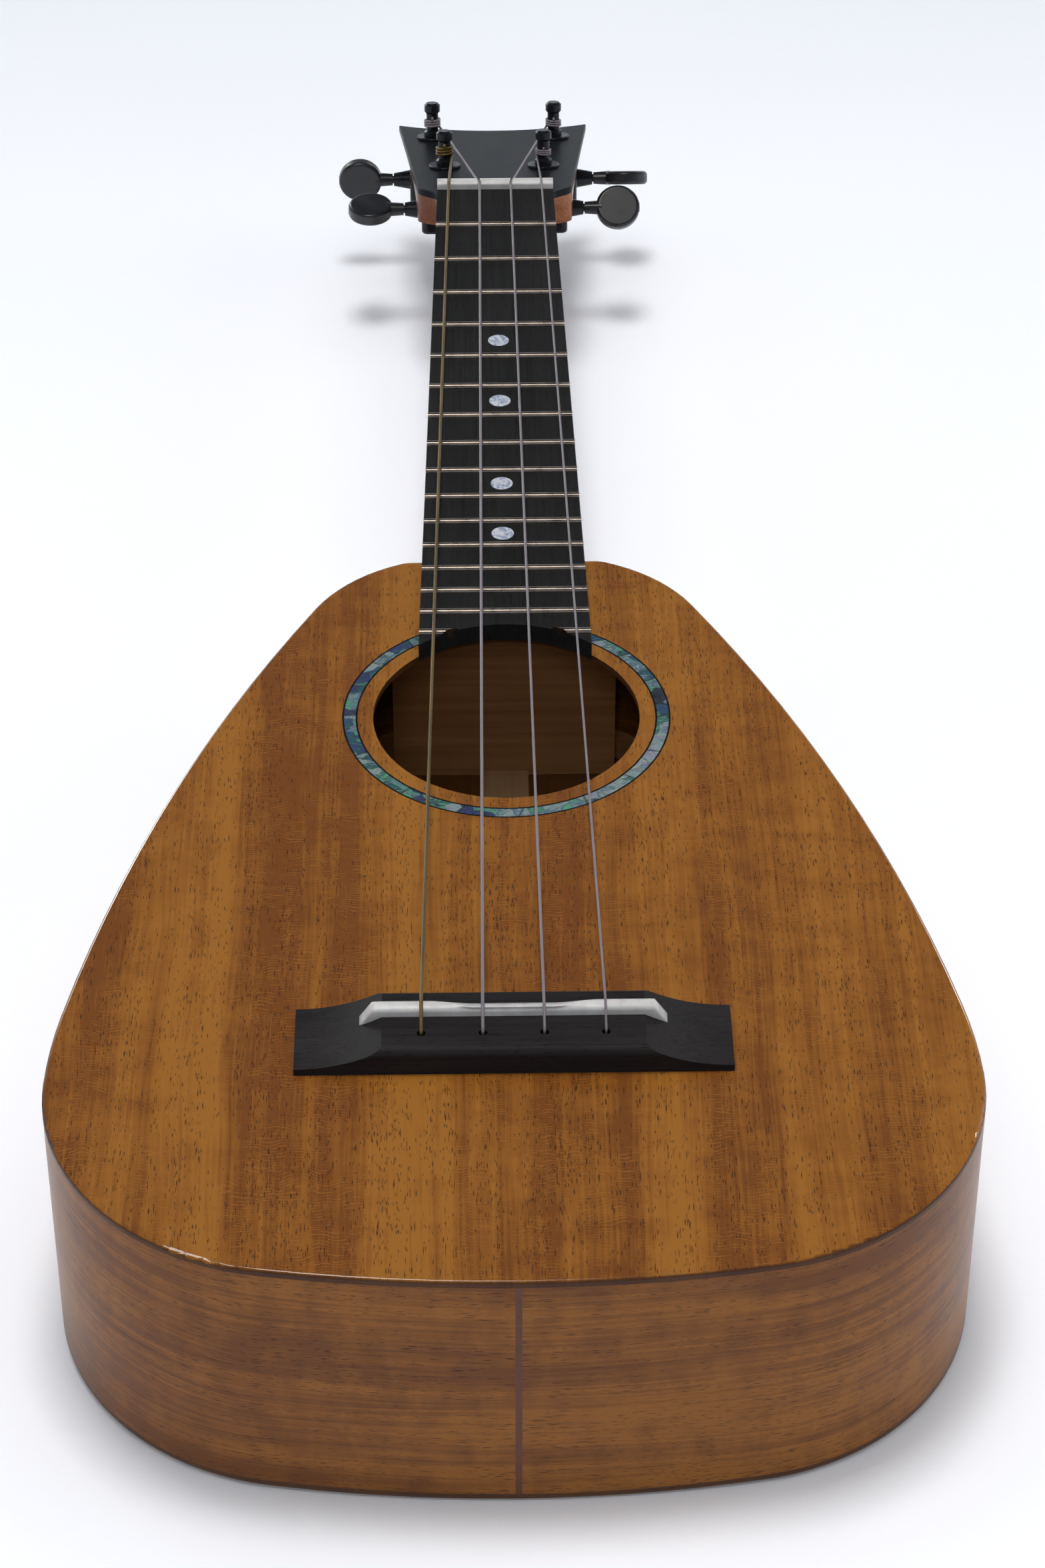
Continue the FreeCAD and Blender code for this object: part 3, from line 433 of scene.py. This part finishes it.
def abalone(name):
    """Curved pieces of shell butted end to end round a ring, each with its own facets and streaks."""
    shader = Shader(name)
    offset = shader.shift((-hole_centre.x, -hole_centre.y, 0.0))
    across = shader.parts(offset)
    angle = shader.math("ARCTAN2", across[1], across[0])
    wander = shader.noise(shader.stretch((22.0, 22.0, 22.0), offset), detail=0.0)
    turns = shader.math("MULTIPLY", angle, SHELL_PIECES / (2.0 * math.pi))
    turns = shader.math("ADD", turns, shader.math("MULTIPLY", wander, SHELL_END_WANDER))
    within = shader.math("FRACT", turns)
    seed = shader.tree.nodes.new("ShaderNodeTexWhiteNoise")
    seed.noise_dimensions = "1D"
    shader.link(shader.math("FLOOR", turns), seed.inputs["W"])
    jump = shader.stretch(SHELL_JUMP, seed.outputs["Color"])
    local = shader.shift(jump, shader.stretch(SHELL_CELLS, offset))
    warp = shader.noise_vector(shader.stretch((0.8, 0.8, 0.8), local), (1.5, 1.5, 1.5))
    swirl = shader.shift(warp, local)
    facets = shader.cells(shader.stretch(FACET_CELLS, swirl))
    facet = shader.parts(facets.outputs["Color"])[1]
    waves = shader.noise(shader.stretch(WAVE_CELLS, swirl), detail=3.0, distortion=1.2)
    tone = shader.math("ADD", shader.math("MULTIPLY", facet, 0.55), shader.math("MULTIPLY", waves, 0.6))
    tone = shader.math("ADD", tone, shader.math("MULTIPLY", seed.outputs["Value"], 0.3))
    facing = shader.math("COSINE", shader.math("SUBTRACT", angle, PALE_DIRECTION))
    tone = shader.math("ADD", tone, shader.span(facing, *PALE_SPAN, -0.3, 0.02))
    colour = shader.ramp(tone, SHELL_COLOURS)
    edges = shader.cells(shader.stretch(FACET_CELLS, swirl), "DISTANCE_TO_EDGE")
    crack = shader.span(edges.outputs["Distance"], 0.0, 0.05, 0.5, 0.0)
    colour = shader.mix(crack, colour, SHELL_CRACK)
    seam = shader.math("MINIMUM", within, shader.math("SUBTRACT", 1.0, within))
    colour = shader.mix(shader.span(seam, 0.0, 0.03, 0.8, 0.0), colour, SHELL_SEAM)
    shader.set(Base_Color=colour, Metallic=shader.span(waves, 0.35, 0.65, 0.1, 0.35))
    shader.set(Roughness=shader.span(waves, 0.3, 0.7, 0.18, 0.32), Coat_Weight=0.5, Coat_Roughness=0.05)
    shader.bump(waves, 0.08, 0.2 * MM)
    return shader.material


def pearl(name):
    """Pale shell with soft swirls."""
    shader = Shader(name)
    swirl = shader.noise(shader.stretch(PEARL_CELLS), detail=3.0, distortion=2.0)
    shader.set(Base_Color=shader.ramp(swirl, PEARL_COLOURS), Metallic=0.15)
    shader.set(Coat_Weight=0.6, Coat_Roughness=0.08)
    shader.set(Roughness=shader.span(swirl, 0.3, 0.7, 0.2, 0.34))
    return shader.material


# ---- bone, metal, nylon and plastic, cells per metre along x, y and z ----
BONE_CLOUD_CELLS = (260.0, 260.0, 260.0)
BONE_MARK_CELLS = (350.0, 3200.0, 3200.0)
BONE_COLOURS = ((0.3, rgb(171, 169, 166)), (0.7, rgb(194, 193, 192)))
BONE_MARK = rgb(146, 138, 126)
BRUSH_CELLS = (300.0, 5200.0, 5200.0)
METAL_SMUDGE_CELLS = (240.0, 240.0, 240.0)
NYLON_CELLS = (2600.0, 60.0, 2600.0)
NYLON_COLOURS = ((0.3, rgb(142, 132, 140)), (0.7, rgb(156, 146, 154)))
NYLON_IOR = 1.5
WIRE_PITCH = 0.22 * MM
TARNISH_CELLS = (300.0, 40.0, 300.0)
TARNISH_COLOURS = ((0.3, rgb(96, 80, 44)), (0.7, rgb(132, 110, 66)))
WIRE_GAP = rgb(46, 38, 22)
MOULD_CELLS = (2400.0, 2400.0, 2400.0)
MOULD_SMUDGE_CELLS = (180.0, 180.0, 180.0)


def bone(name):
    """Polished bone with soft clouds and fine marks along it."""
    shader = Shader(name)
    cloud = shader.noise(shader.stretch(BONE_CLOUD_CELLS), detail=3.0)
    marks = shader.noise(shader.stretch(BONE_MARK_CELLS), detail=2.0)
    marked = shader.span(marks, 0.62, 0.72, 0.0, 0.25)
    colour = shader.mix(marked, shader.ramp(cloud, BONE_COLOURS), BONE_MARK)
    shader.set(Base_Color=colour, Subsurface_Weight=0.12, Subsurface_Scale=2.0 * MM)
    shader.set(Roughness=shader.span(marks, 0.3, 0.7, 0.28, 0.42))
    shader.bump(marks, 0.12, 0.2 * MM)
    return shader.material


def metal(name, tone, roughness, metallic=1.0, wear=None):
    """Brushed and slightly smudged metal. A wear colour shows along some of the brush marks."""
    shader = Shader(name)
    brushed = shader.noise(shader.stretch(BRUSH_CELLS), detail=3.0)
    smudge = shader.noise(shader.stretch(METAL_SMUDGE_CELLS), detail=3.0)
    colour = shader.ramp(smudge, [(0.3, tinted(tone, 0.86)), (0.7, tinted(tone, 1.1))])
    if wear:
        colour = shader.mix(shader.span(brushed, 0.66, 0.8, 0.0, 0.35), colour, wear)
    shader.set(Base_Color=colour, Metallic=metallic)
    shader.set(Roughness=shader.span(smudge, 0.3, 0.7, roughness * 0.8, roughness * 1.25))
    shader.bump(brushed, 0.05, 0.1 * MM)
    return shader.material


def nylon(name):
    """Clear nylon, a little cloudy, with faint streaks along the string."""
    shader = Shader(name)
    streak = shader.noise(shader.stretch(NYLON_CELLS), detail=2.0)
    shader.set(Base_Color=shader.ramp(streak, NYLON_COLOURS))
    shader.set(Transmission_Weight=0.55, IOR=NYLON_IOR)
    shader.set(Roughness=shader.span(streak, 0.3, 0.7, 0.3, 0.36))
    return shader.material


def wound(name):
    """Fine flat wire round a core: a dull gold tone with dark lines between the turns."""
    shader = Shader(name)
    place = shader.parts(shader.place)
    turns = shader.math("SINE", shader.math("MULTIPLY", place[1], 2.0 * math.pi / WIRE_PITCH))
    shade = shader.span(turns, -1.0, 1.0, 0.0, 1.0)
    tarnish = shader.noise(shader.stretch(TARNISH_CELLS), detail=3.0)
    gap = shader.span(shade, 0.0, 0.4, 0.45, 0.0)
    shader.set(Base_Color=shader.mix(gap, shader.ramp(tarnish, TARNISH_COLOURS), WIRE_GAP), Metallic=0.7)
    shader.set(Roughness=shader.span(tarnish, 0.3, 0.7, 0.3, 0.42))
    shader.bump(shade, 0.3, 0.1 * MM)
    return shader.material


def moulded(name, tone, roughness):
    """Moulded plastic with a fine grain."""
    shader = Shader(name)
    grain = shader.noise(shader.stretch(MOULD_CELLS), detail=2.0)
    smudge = shader.noise(shader.stretch(MOULD_SMUDGE_CELLS), detail=3.0)
    shader.set(Base_Color=shader.ramp(smudge, [(0.3, tinted(tone, 0.85)), (0.7, tinted(tone, 1.2))]))
    shader.set(Roughness=shader.span(smudge, 0.3, 0.7, roughness * 0.8, roughness * 1.2))
    shader.bump(grain, 0.04, 0.1 * MM)
    return shader.material


# silk sets how strongly each wood's painted sheen shows.
materials = {
    "top_mahogany": wood(
        "top_mahogany", neck_axes,
        rgb(140, 91, 34), rgb(126, 78, 28), rgb(104, 60, 22), rgb(44, 24, 12),
        coat=0.9, silk=0.6, stripe=60.0, specular=0.12, contrast=1.1, pores=0.95,
        edge=rgb(58, 35, 24)),
    "side_mahogany": wood(
        "side_mahogany", rim_axes,
        rgb(142, 92, 42), rgb(127, 80, 38), rgb(107, 66, 36), rgb(48, 29, 24),
        coat=0.05, coat_roughness=0.2, stripe=55.0, silk=0.0, specular=0.1, pores=0.8,
        contrast=1.1, run=8.0, shares=RIM_SHARES, pore_sets=RIM_PORES),
    "back_mahogany": wood(
        "back_mahogany", neck_axes,
        rgb(138, 88, 42), rgb(118, 70, 31), rgb(90, 49, 20), rgb(42, 22, 10),
        coat=0.8, silk=0.3, stripe=62.0, specular=0.12, edge=rgb(74, 52, 38),
        # Inside colour: bare mahogany, darkened as painted shade inside the body.
        inside=rgb(96, 62, 32)),
    "neck_mahogany": wood(
        "neck_mahogany", neck_axes,
        rgb(142, 88, 50), rgb(122, 70, 38), rgb(96, 53, 29), rgb(48, 26, 14),
        coat=0.12, coat_roughness=0.2, stripe=80.0, silk=0.12, specular=0.15),
    "end_graft_wood": bare_wood("end_graft_wood", rgb(100, 56, 38), rgb(80, 42, 28)),
    "inner_mahogany": bare_wood("inner_mahogany", rgb(180, 135, 88), rgb(152, 109, 67), cross_axes),
    "inner_spruce": bare_wood("inner_spruce", rgb(182, 145, 104), rgb(160, 123, 84)),
    "abalone": abalone("abalone"),
    "black_purfling": ebony("black_purfling", (12, 11, 11), 0.3),
    "bridge_ebony": ebony("bridge_ebony", (31, 29, 29), 0.5, 0.1, cross_axes),
    "fretboard_ebony": ebony("fretboard_ebony", (27, 27, 27), 0.4, 0.09),
    "headplate_ebony": ebony("headplate_ebony", (20, 22, 24), 0.35, 0.048),
    "bone": bone("bone"),
    "fret_nickel": metal("fret_nickel", (158, 148, 138), 0.3),
    "pearl": pearl("pearl"),
    "wound_string": wound("wound_string"),
    "clear_string": nylon("clear_string"),
    "black_metal": metal("black_metal", (34, 35, 38), 0.28, 0.7, rgb(96, 98, 102)),
    "screw_steel": metal("screw_steel", (92, 92, 96), 0.3, 1.0, rgb(160, 160, 162)),
    "gear_brass": metal("gear_brass", (196, 158, 88), 0.3),
    "shaft_steel": metal("shaft_steel", (40, 41, 44), 0.3, 0.8),
    "button_black": moulded("button_black", (26, 27, 30), 0.3),
}


def dress(piece, slot):
    piece.data.materials.clear()
    piece.data.materials.append(materials[slot])


for part in frame["record"]["subparts"]:
    dress(nodes[part["node"]], part["material_slot"])


# ---- swept pieces ----
ARC_STEPS = 8
ARC_SHARE = 0.45
TUBE_SIDES = 14
KNOT_SIDES = 10
KNOT_STEPS = 40
KNOT_SPREAD = 0.75 * MM
KNOT_HEIGHT = 0.35 * MM
KNOT_SINK = 0.2 * MM
KNOT_THINNING = 0.9

# The rise is in string diameters for each turn, and the bend is a share of the winding's radius.
WINDING_TURNS = 3.25
WINDING_TURN_STEPS = 28
WINDING_RISE = 1.02
WINDING_TAIL_RISE = 0.6 * MM
WINDING_TAIL_BEND = 0.55
WINDING_TAIL_LENGTH = 1.6 * MM


def new_piece(name, verts, faces, slot, body, replaced):
    """A smooth mesh that rides on a body in place of CAD nodes."""
    mesh = bpy.data.meshes.new(name)
    mesh.from_pydata(verts, [], faces)
    mesh.validate()
    for polygon in mesh.polygons:
        polygon.use_smooth = True
    piece = bpy.data.objects.new(name, mesh)
    scene.collection.objects.link(piece)
    dress(piece, slot)
    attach(piece, body)
    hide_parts(*replaced)
    return piece


def rounded_line(corners, radii):
    """The corner points with a bend of about the given radius in place of each inner corner."""
    points = [corners[0]]
    for before, corner, after, radius in zip(corners, corners[1:], corners[2:], radii):
        into = (corner - before).normalized()
        out = (after - corner).normalized()
        turn = into.angle(out)
        reach = min(radius * math.tan(turn / 2.0), (corner - before).length * ARC_SHARE)
        first = corner - into * reach
        last = corner + out * reach
        for step in range(ARC_STEPS + 1):
            share = step / ARC_STEPS
            low = first.lerp(corner, share)
            high = corner.lerp(last, share)
            points.append(low.lerp(high, share))
    points.append(corners[-1])
    return points


def tube(points, radius, sides=TUBE_SIDES):
    """Vertices and faces of a closed round tube along the points."""
    verts = []
    faces = []
    direction = (points[1] - points[0]).normalized()
    side = direction.orthogonal().normalized()
    for index, point in enumerate(points):
        before = points[max(index - 1, 0)]
        after = points[min(index + 1, len(points) - 1)]
        heading = (after - before).normalized()
        side = (side - heading * side.dot(heading)).normalized()
        other = heading.cross(side)
        for corner in range(sides):
            angle = 2.0 * math.pi * corner / sides
            verts.append(point + (side * math.cos(angle) + other * math.sin(angle)) * radius)
    for ring in range(len(points) - 1):
        for corner in range(sides):
            a = ring * sides + corner
            b = ring * sides + (corner + 1) % sides
            faces.append((a, b, b + sides, a + sides))
    faces.append(tuple(reversed(range(sides))))
    last = (len(points) - 1) * sides
    faces.append(tuple(range(last, last + sides)))
    return verts, faces


def post_frame(name):
    """The tuner post's foot on the head's face, its axis, and the way to the middle of the head."""
    joint = joint_by_name["post_turn_" + name]
    foot = Vector(joint["pos_m"])
    axis = Vector(joint["axis"]).normalized()
    inner = Vector((-math.copysign(1.0, foot.x), 0.0, 0.0))
    return foot, axis, inner


def string_slot(name):
    return "wound_string" if name == "g" else "clear_string"


def make_string(name):
    """A taut string from its knot over the saddle and the nut to its post."""
    place = STRINGS.index(name) - (len(STRINGS) - 1) / 2.0
    radius = STRING_DIAMETER[name] / 2.0
    foot, axis, inner = post_frame(name)
    saddle_x = SADDLE_SPACING * place
    corners = [
        Vector((saddle_x, HOLE_Y, top_z - KNOT_DEPTH)),
        Vector((saddle_x, HOLE_Y + STRING_LEAN, bridge_high.z + HOLE_RIM_GAP)),
        Vector((saddle_x, scale_y + saddle_crest(saddle_x), saddle_high.z + radius)),
        Vector((NUT_SPACING * place, nut_low.y, NUT_GROOVE_Z + radius)),
        foot + inner * (POST_WAIST_RADIUS + radius) + axis * (WINDING_BASE + radius),
    ]
    points = rounded_line(corners, STRING_BENDS)
    long_run = []
    for first, second in zip(points, points[1:]):
        pieces = max(1, int((second - first).length / LONGEST_PIECE))
        long_run.extend(first.lerp(second, step / pieces) for step in range(pieces))
    long_run.append(points[-1])
    verts, faces = tube(long_run, radius)
    knot_verts, knot_faces = knot(corners[0], radius)
    faces += [tuple(index + len(verts) for index in face) for face in knot_faces]
    verts += knot_verts
    new_piece("string_" + name + "_taut", verts, faces, string_slot(name), "root", ["string_" + name])


def knot(centre, radius):
    """Two small crossing loops of the string's end, under the bridge plate."""
    points = []
    for step in range(KNOT_STEPS + 1):
        angle = 4.0 * math.pi * step / KNOT_STEPS
        points.append(centre + Vector((
            math.cos(angle) * KNOT_SPREAD,
            math.sin(angle) * KNOT_SPREAD,
            math.sin(angle * 1.5) * KNOT_HEIGHT - KNOT_SINK,
        )))
    return tube(points, radius * KNOT_THINNING, KNOT_SIDES)


def make_winding(name):
    """The turns of string round the post, with the string's end pushed through the post."""
    radius = STRING_DIAMETER[name] / 2.0
    foot, axis, inner = post_frame(name)
    ahead = axis.cross(Vector((1.0, 0.0, 0.0))).normalized()
    ring = POST_WAIST_RADIUS + radius
    steps = int(WINDING_TURNS * WINDING_TURN_STEPS)
    points = []
    for step in range(steps + 1):
        turned = WINDING_TURNS * step / steps
        angle = 2.0 * math.pi * turned
        height = WINDING_BASE + radius + WINDING_RISE * STRING_DIAMETER[name] * turned
        around = inner * math.cos(angle) + ahead * math.sin(angle)
        points.append(foot + around * ring + axis * height)
    entry = foot + axis * ((points[-1] - foot).dot(axis) + WINDING_TAIL_RISE)
    outward = points[-1] - entry
    outward -= axis * outward.dot(axis)
    points.append(entry + outward * WINDING_TAIL_BEND)
    points.append(entry)
    points.append(entry - outward.normalized() * (POST_WAIST_RADIUS + WINDING_TAIL_LENGTH))
    verts, faces = tube(points, radius)
    new_piece("winding_" + name, verts, faces, string_slot(name), "post_" + name, ["string_winding_" + name])


# ---- the carved saddle ----
SADDLE_HALF = (saddle_high.x - saddle_low.x) / 2.0
SADDLE_TOP_HALF = 32.2 * MM
SADDLE_STATIONS = 72
END_DROP = 4.2 * MM
END_ROUNDING = 0.25 * MM
END_MARGIN = 0.4 * MM
RIDGE_MIDDLE = -0.5 * MM
RIDGE_OUTER = 1.2 * MM
RIDGE_SPAN = (9.0 * MM, 18.0 * MM)
SHOULDER_OUTER = 0.25 * MM
SHOULDER_MIDDLE = 1.15 * MM
SHOULDER_SPAN = (9.0 * MM, 20.0 * MM)
FRONT_BEVEL_WIDTH = 0.1 * MM
FRONT_BEVEL_DEPTH = 0.3 * MM
HARD_EDGE = math.radians(55.0)

# How far each point stands in front of the rear face or of the ridge, and how deep under the top.
REAR_ROUNDING = ((0.0, 1.25 * MM), (0.18 * MM, 0.75 * MM), (0.6 * MM, 0.28 * MM))
RIDGE_ROUNDING = ((-0.25 * MM, 0.03 * MM), (0.0, 0.0), (0.2 * MM, 0.05 * MM))


def smooth_step(value, low, high):
    share = min(max((value - low) / (high - low), 0.0), 1.0)
    return share * share * (3.0 - 2.0 * share)


def saddle_crest(x):
    """How far the ridge stands ahead of the scale line: back for the middle strings."""
    return RIDGE_MIDDLE + (RIDGE_OUTER - RIDGE_MIDDLE) * smooth_step(abs(x), *RIDGE_SPAN)


def saddle_section(x):
    """The saddle's outline in y and z at x, from the rear foot over the ridge to the front foot."""
    front = saddle_high.y
    rear = saddle_low.y
    foot = saddle_low.z
    fall = smooth_step(abs(x), SADDLE_TOP_HALF, SADDLE_HALF + END_MARGIN)
    drop = max(0.0, abs(x) - SADDLE_TOP_HALF) / (SADDLE_HALF - SADDLE_TOP_HALF)
    height = saddle_high.z - END_DROP * drop - END_ROUNDING * fall
    ridge = scale_y + saddle_crest(x)
    hollow = 1.0 - smooth_step(abs(x), *SHOULDER_SPAN)
    shoulder = SHOULDER_OUTER + (SHOULDER_MIDDLE - SHOULDER_OUTER) * hollow
    section = [(rear, foot)]
    section += [(rear + ahead, height - depth) for ahead, depth in REAR_ROUNDING]
    section += [(ridge + ahead, height - depth) for ahead, depth in RIDGE_ROUNDING]
    section.append((front - FRONT_BEVEL_WIDTH, height - shoulder))
    section.append((front, height - shoulder - FRONT_BEVEL_DEPTH))
    section.append((front, foot))
    return [Vector((x, y, max(z, foot))) for y, z in section]


def make_saddle():
    """A bone strip whose ridge is filed back between the outer strings, with sloping ends."""
    sections = []
    for station in range(SADDLE_STATIONS + 1):
        sections.append(saddle_section(-SADDLE_HALF + 2.0 * SADDLE_HALF * station / SADDLE_STATIONS))
    verts = [vertex for section in sections for vertex in section]
    ring = len(sections[0])
    faces = []
    for station in range(SADDLE_STATIONS):
        for corner in range(ring):
            a = station * ring + corner
            b = station * ring + (corner + 1) % ring
            faces.append((a, b, b + ring, a + ring))
    faces.append(tuple(reversed(range(ring))))
    faces.append(tuple(range(SADDLE_STATIONS * ring, (SADDLE_STATIONS + 1) * ring)))
    piece = new_piece("saddle_carved", verts, faces, "bone", "root", ["saddle"])
    harden_edges(piece)


def harden_edges(piece):
    """Faces that meet at a sharp angle are shaded with a hard edge between them."""
    work = bmesh.new()
    work.from_mesh(piece.data)
    bmesh.ops.recalc_face_normals(work, faces=work.faces)
    for edge in work.edges:
        edge.smooth = edge.calc_face_angle(0.0) < HARD_EDGE
    work.to_mesh(piece.data)
    work.free()


for string in STRINGS:
    make_string(string)
    make_winding(string)
make_saddle()

# ---- floor, light and camera ----
FLOOR_HALF = 2.6
FLOOR_CELLS = (3.0, 3.0, 3.0)
FLOOR_COLOURS = ((0.3, rgb(243, 245, 250)), (0.7, rgb(247, 248, 252)))
# Painted shade: the floor turns darker further back, in place of the lamps' fall-off.
FLOOR_FAR_SHADE_COLOUR = rgb(233, 238, 245)
FLOOR_SHADE_SPAN = (0.25, 0.8)
SKY_STOPS = ((0.12, (0.79, 0.84, 0.93, 1.0)), (0.45, (0.07, 0.075, 0.085, 1.0)))
SENSOR_WIDTH = 36.0
LENS = 90.57
NEAREST = 50.0 * MM
EYE = Vector((-9.0 * MM, scale_y - 675.1 * MM, top_z + 603.3 * MM))
LOOK_DOWN = math.radians(38.13)
LOOK_RIGHT = math.radians(0.94)
LAMP_TARGET = Vector((0.0, scale_y + 40.0 * MM, top_z))

# Each lamp's place from the target, its width and length, and its power.
LAMPS = {
    "overhead": ((0.0, 0.1, 1.5), (1.7, 1.7), 11.5, {"mirrored": False}),
    "key": ((-0.05, 0.1, 1.5), (0.36, 0.32), 12.4, {"mirrored": False}),
    "left": ((-1.5, 0.1, 0.75), (0.8, 1.4), 3.8, {"mirrored": False}),
    "right": ((1.6, 0.2, 0.7), (0.8, 1.2), 6.0, {"mirrored": False}),
    "front": ((-0.1, -1.3, 1.3), (0.4, 0.4), 3.4, {"mirrored": False}),
    "rear_left": ((-0.98, 1.88, 0.62), (0.22, 0.9), 8.0, {"lights": False}),
    "rear_right": ((1.1, 1.9, 1.0), (0.16, 0.3), 4.0, {"lights": False}),
    "strip": ((-0.24, -0.3, 1.5), (0.42, 0.7), 8.5, {"lights": False, "tint": (1.0, 0.95, 0.9)}),
}


def make_floor():
    mesh = bpy.data.meshes.new("floor")
    signs = ((-1.0, -1.0), (1.0, -1.0), (1.0, 1.0), (-1.0, 1.0))
    mesh.from_pydata([(x * FLOOR_HALF, y * FLOOR_HALF, 0.0) for x, y in signs], [], [(0, 1, 2, 3)])
    floor = bpy.data.objects.new("floor", mesh)
    scene.collection.objects.link(floor)
    shader = Shader("floor_paper")
    mottle = shader.noise(shader.stretch(FLOOR_CELLS), detail=2.0)
    paper = shader.ramp(mottle, FLOOR_COLOURS)
    # Painted shade: darker towards the back of the floor, standing in for the lamps' fall-off.
    ahead = shader.span(shader.parts(shader.place)[1], *FLOOR_SHADE_SPAN, 0.0, 1.0)
    shader.set(Base_Color=shader.mix(ahead, paper, FLOOR_FAR_SHADE_COLOUR))
    shader.set(Roughness=0.75)
    mesh.materials.append(shader.material)


def make_lamp(name, offset, size, power, options):
    """A rectangular lamp. One with mirrored False is not seen in polished faces, and one with
    lights False is seen only in them."""
    light = bpy.data.lights.new(name, "AREA")
    light.shape = "RECTANGLE"
    light.size, light.size_y = size
    light.energy = power
    light.color = options.get("tint", (1.0, 1.0, 1.0))
    lamp = bpy.data.objects.new(name, light)
    scene.collection.objects.link(lamp)
    lamp.location = LAMP_TARGET + Vector(offset)
    lamp.rotation_euler = (-Vector(offset)).to_track_quat("-Z", "Y").to_euler()
    lamp.visible_glossy = options.get("mirrored", True)
    lamp.visible_diffuse = options.get("lights", True)
    lamp.visible_transmission = False


def make_sky():
    """Bright near the horizon, dim overhead, so that flat polished faces stay dark and rich."""
    world = bpy.data.worlds.new("studio")
    scene.world = world
    world.use_nodes = True
    tree = world.node_tree
    tree.nodes.clear()
    output = tree.nodes.new("ShaderNodeOutputWorld")
    glow = tree.nodes.new("ShaderNodeBackground")
    tree.links.new(glow.outputs[0], output.inputs[0])
    place = tree.nodes.new("ShaderNodeTexCoord")
    split = tree.nodes.new("ShaderNodeSeparateXYZ")
    tree.links.new(place.outputs["Generated"], split.inputs[0])
    ramp = tree.nodes.new("ShaderNodeValToRGB")
    tree.links.new(split.outputs["Z"], ramp.inputs["Fac"])
    for element, (position, colour) in zip(ramp.color_ramp.elements, SKY_STOPS):
        element.position = position
        element.color = colour
    tree.links.new(ramp.outputs[0], glow.inputs["Color"])
    glow.inputs["Strength"].default_value = 1.0


def make_camera():
    camera = bpy.data.cameras.new("camera")
    camera.sensor_width = SENSOR_WIDTH
    camera.lens = LENS
    camera.clip_start = NEAREST
    eye = bpy.data.objects.new("camera", camera)
    scene.collection.objects.link(eye)
    eye.location = EYE
    eye.rotation_euler = (math.pi / 2.0 - LOOK_DOWN, 0.0, -LOOK_RIGHT)
    scene.camera = eye


make_floor()
make_sky()
for lamp_name, lamp_settings in LAMPS.items():
    make_lamp(lamp_name, *lamp_settings)
make_camera()
scene.view_settings.view_transform = "Standard"
scene.view_settings.look = "None"
scene.view_settings.exposure = 0.0
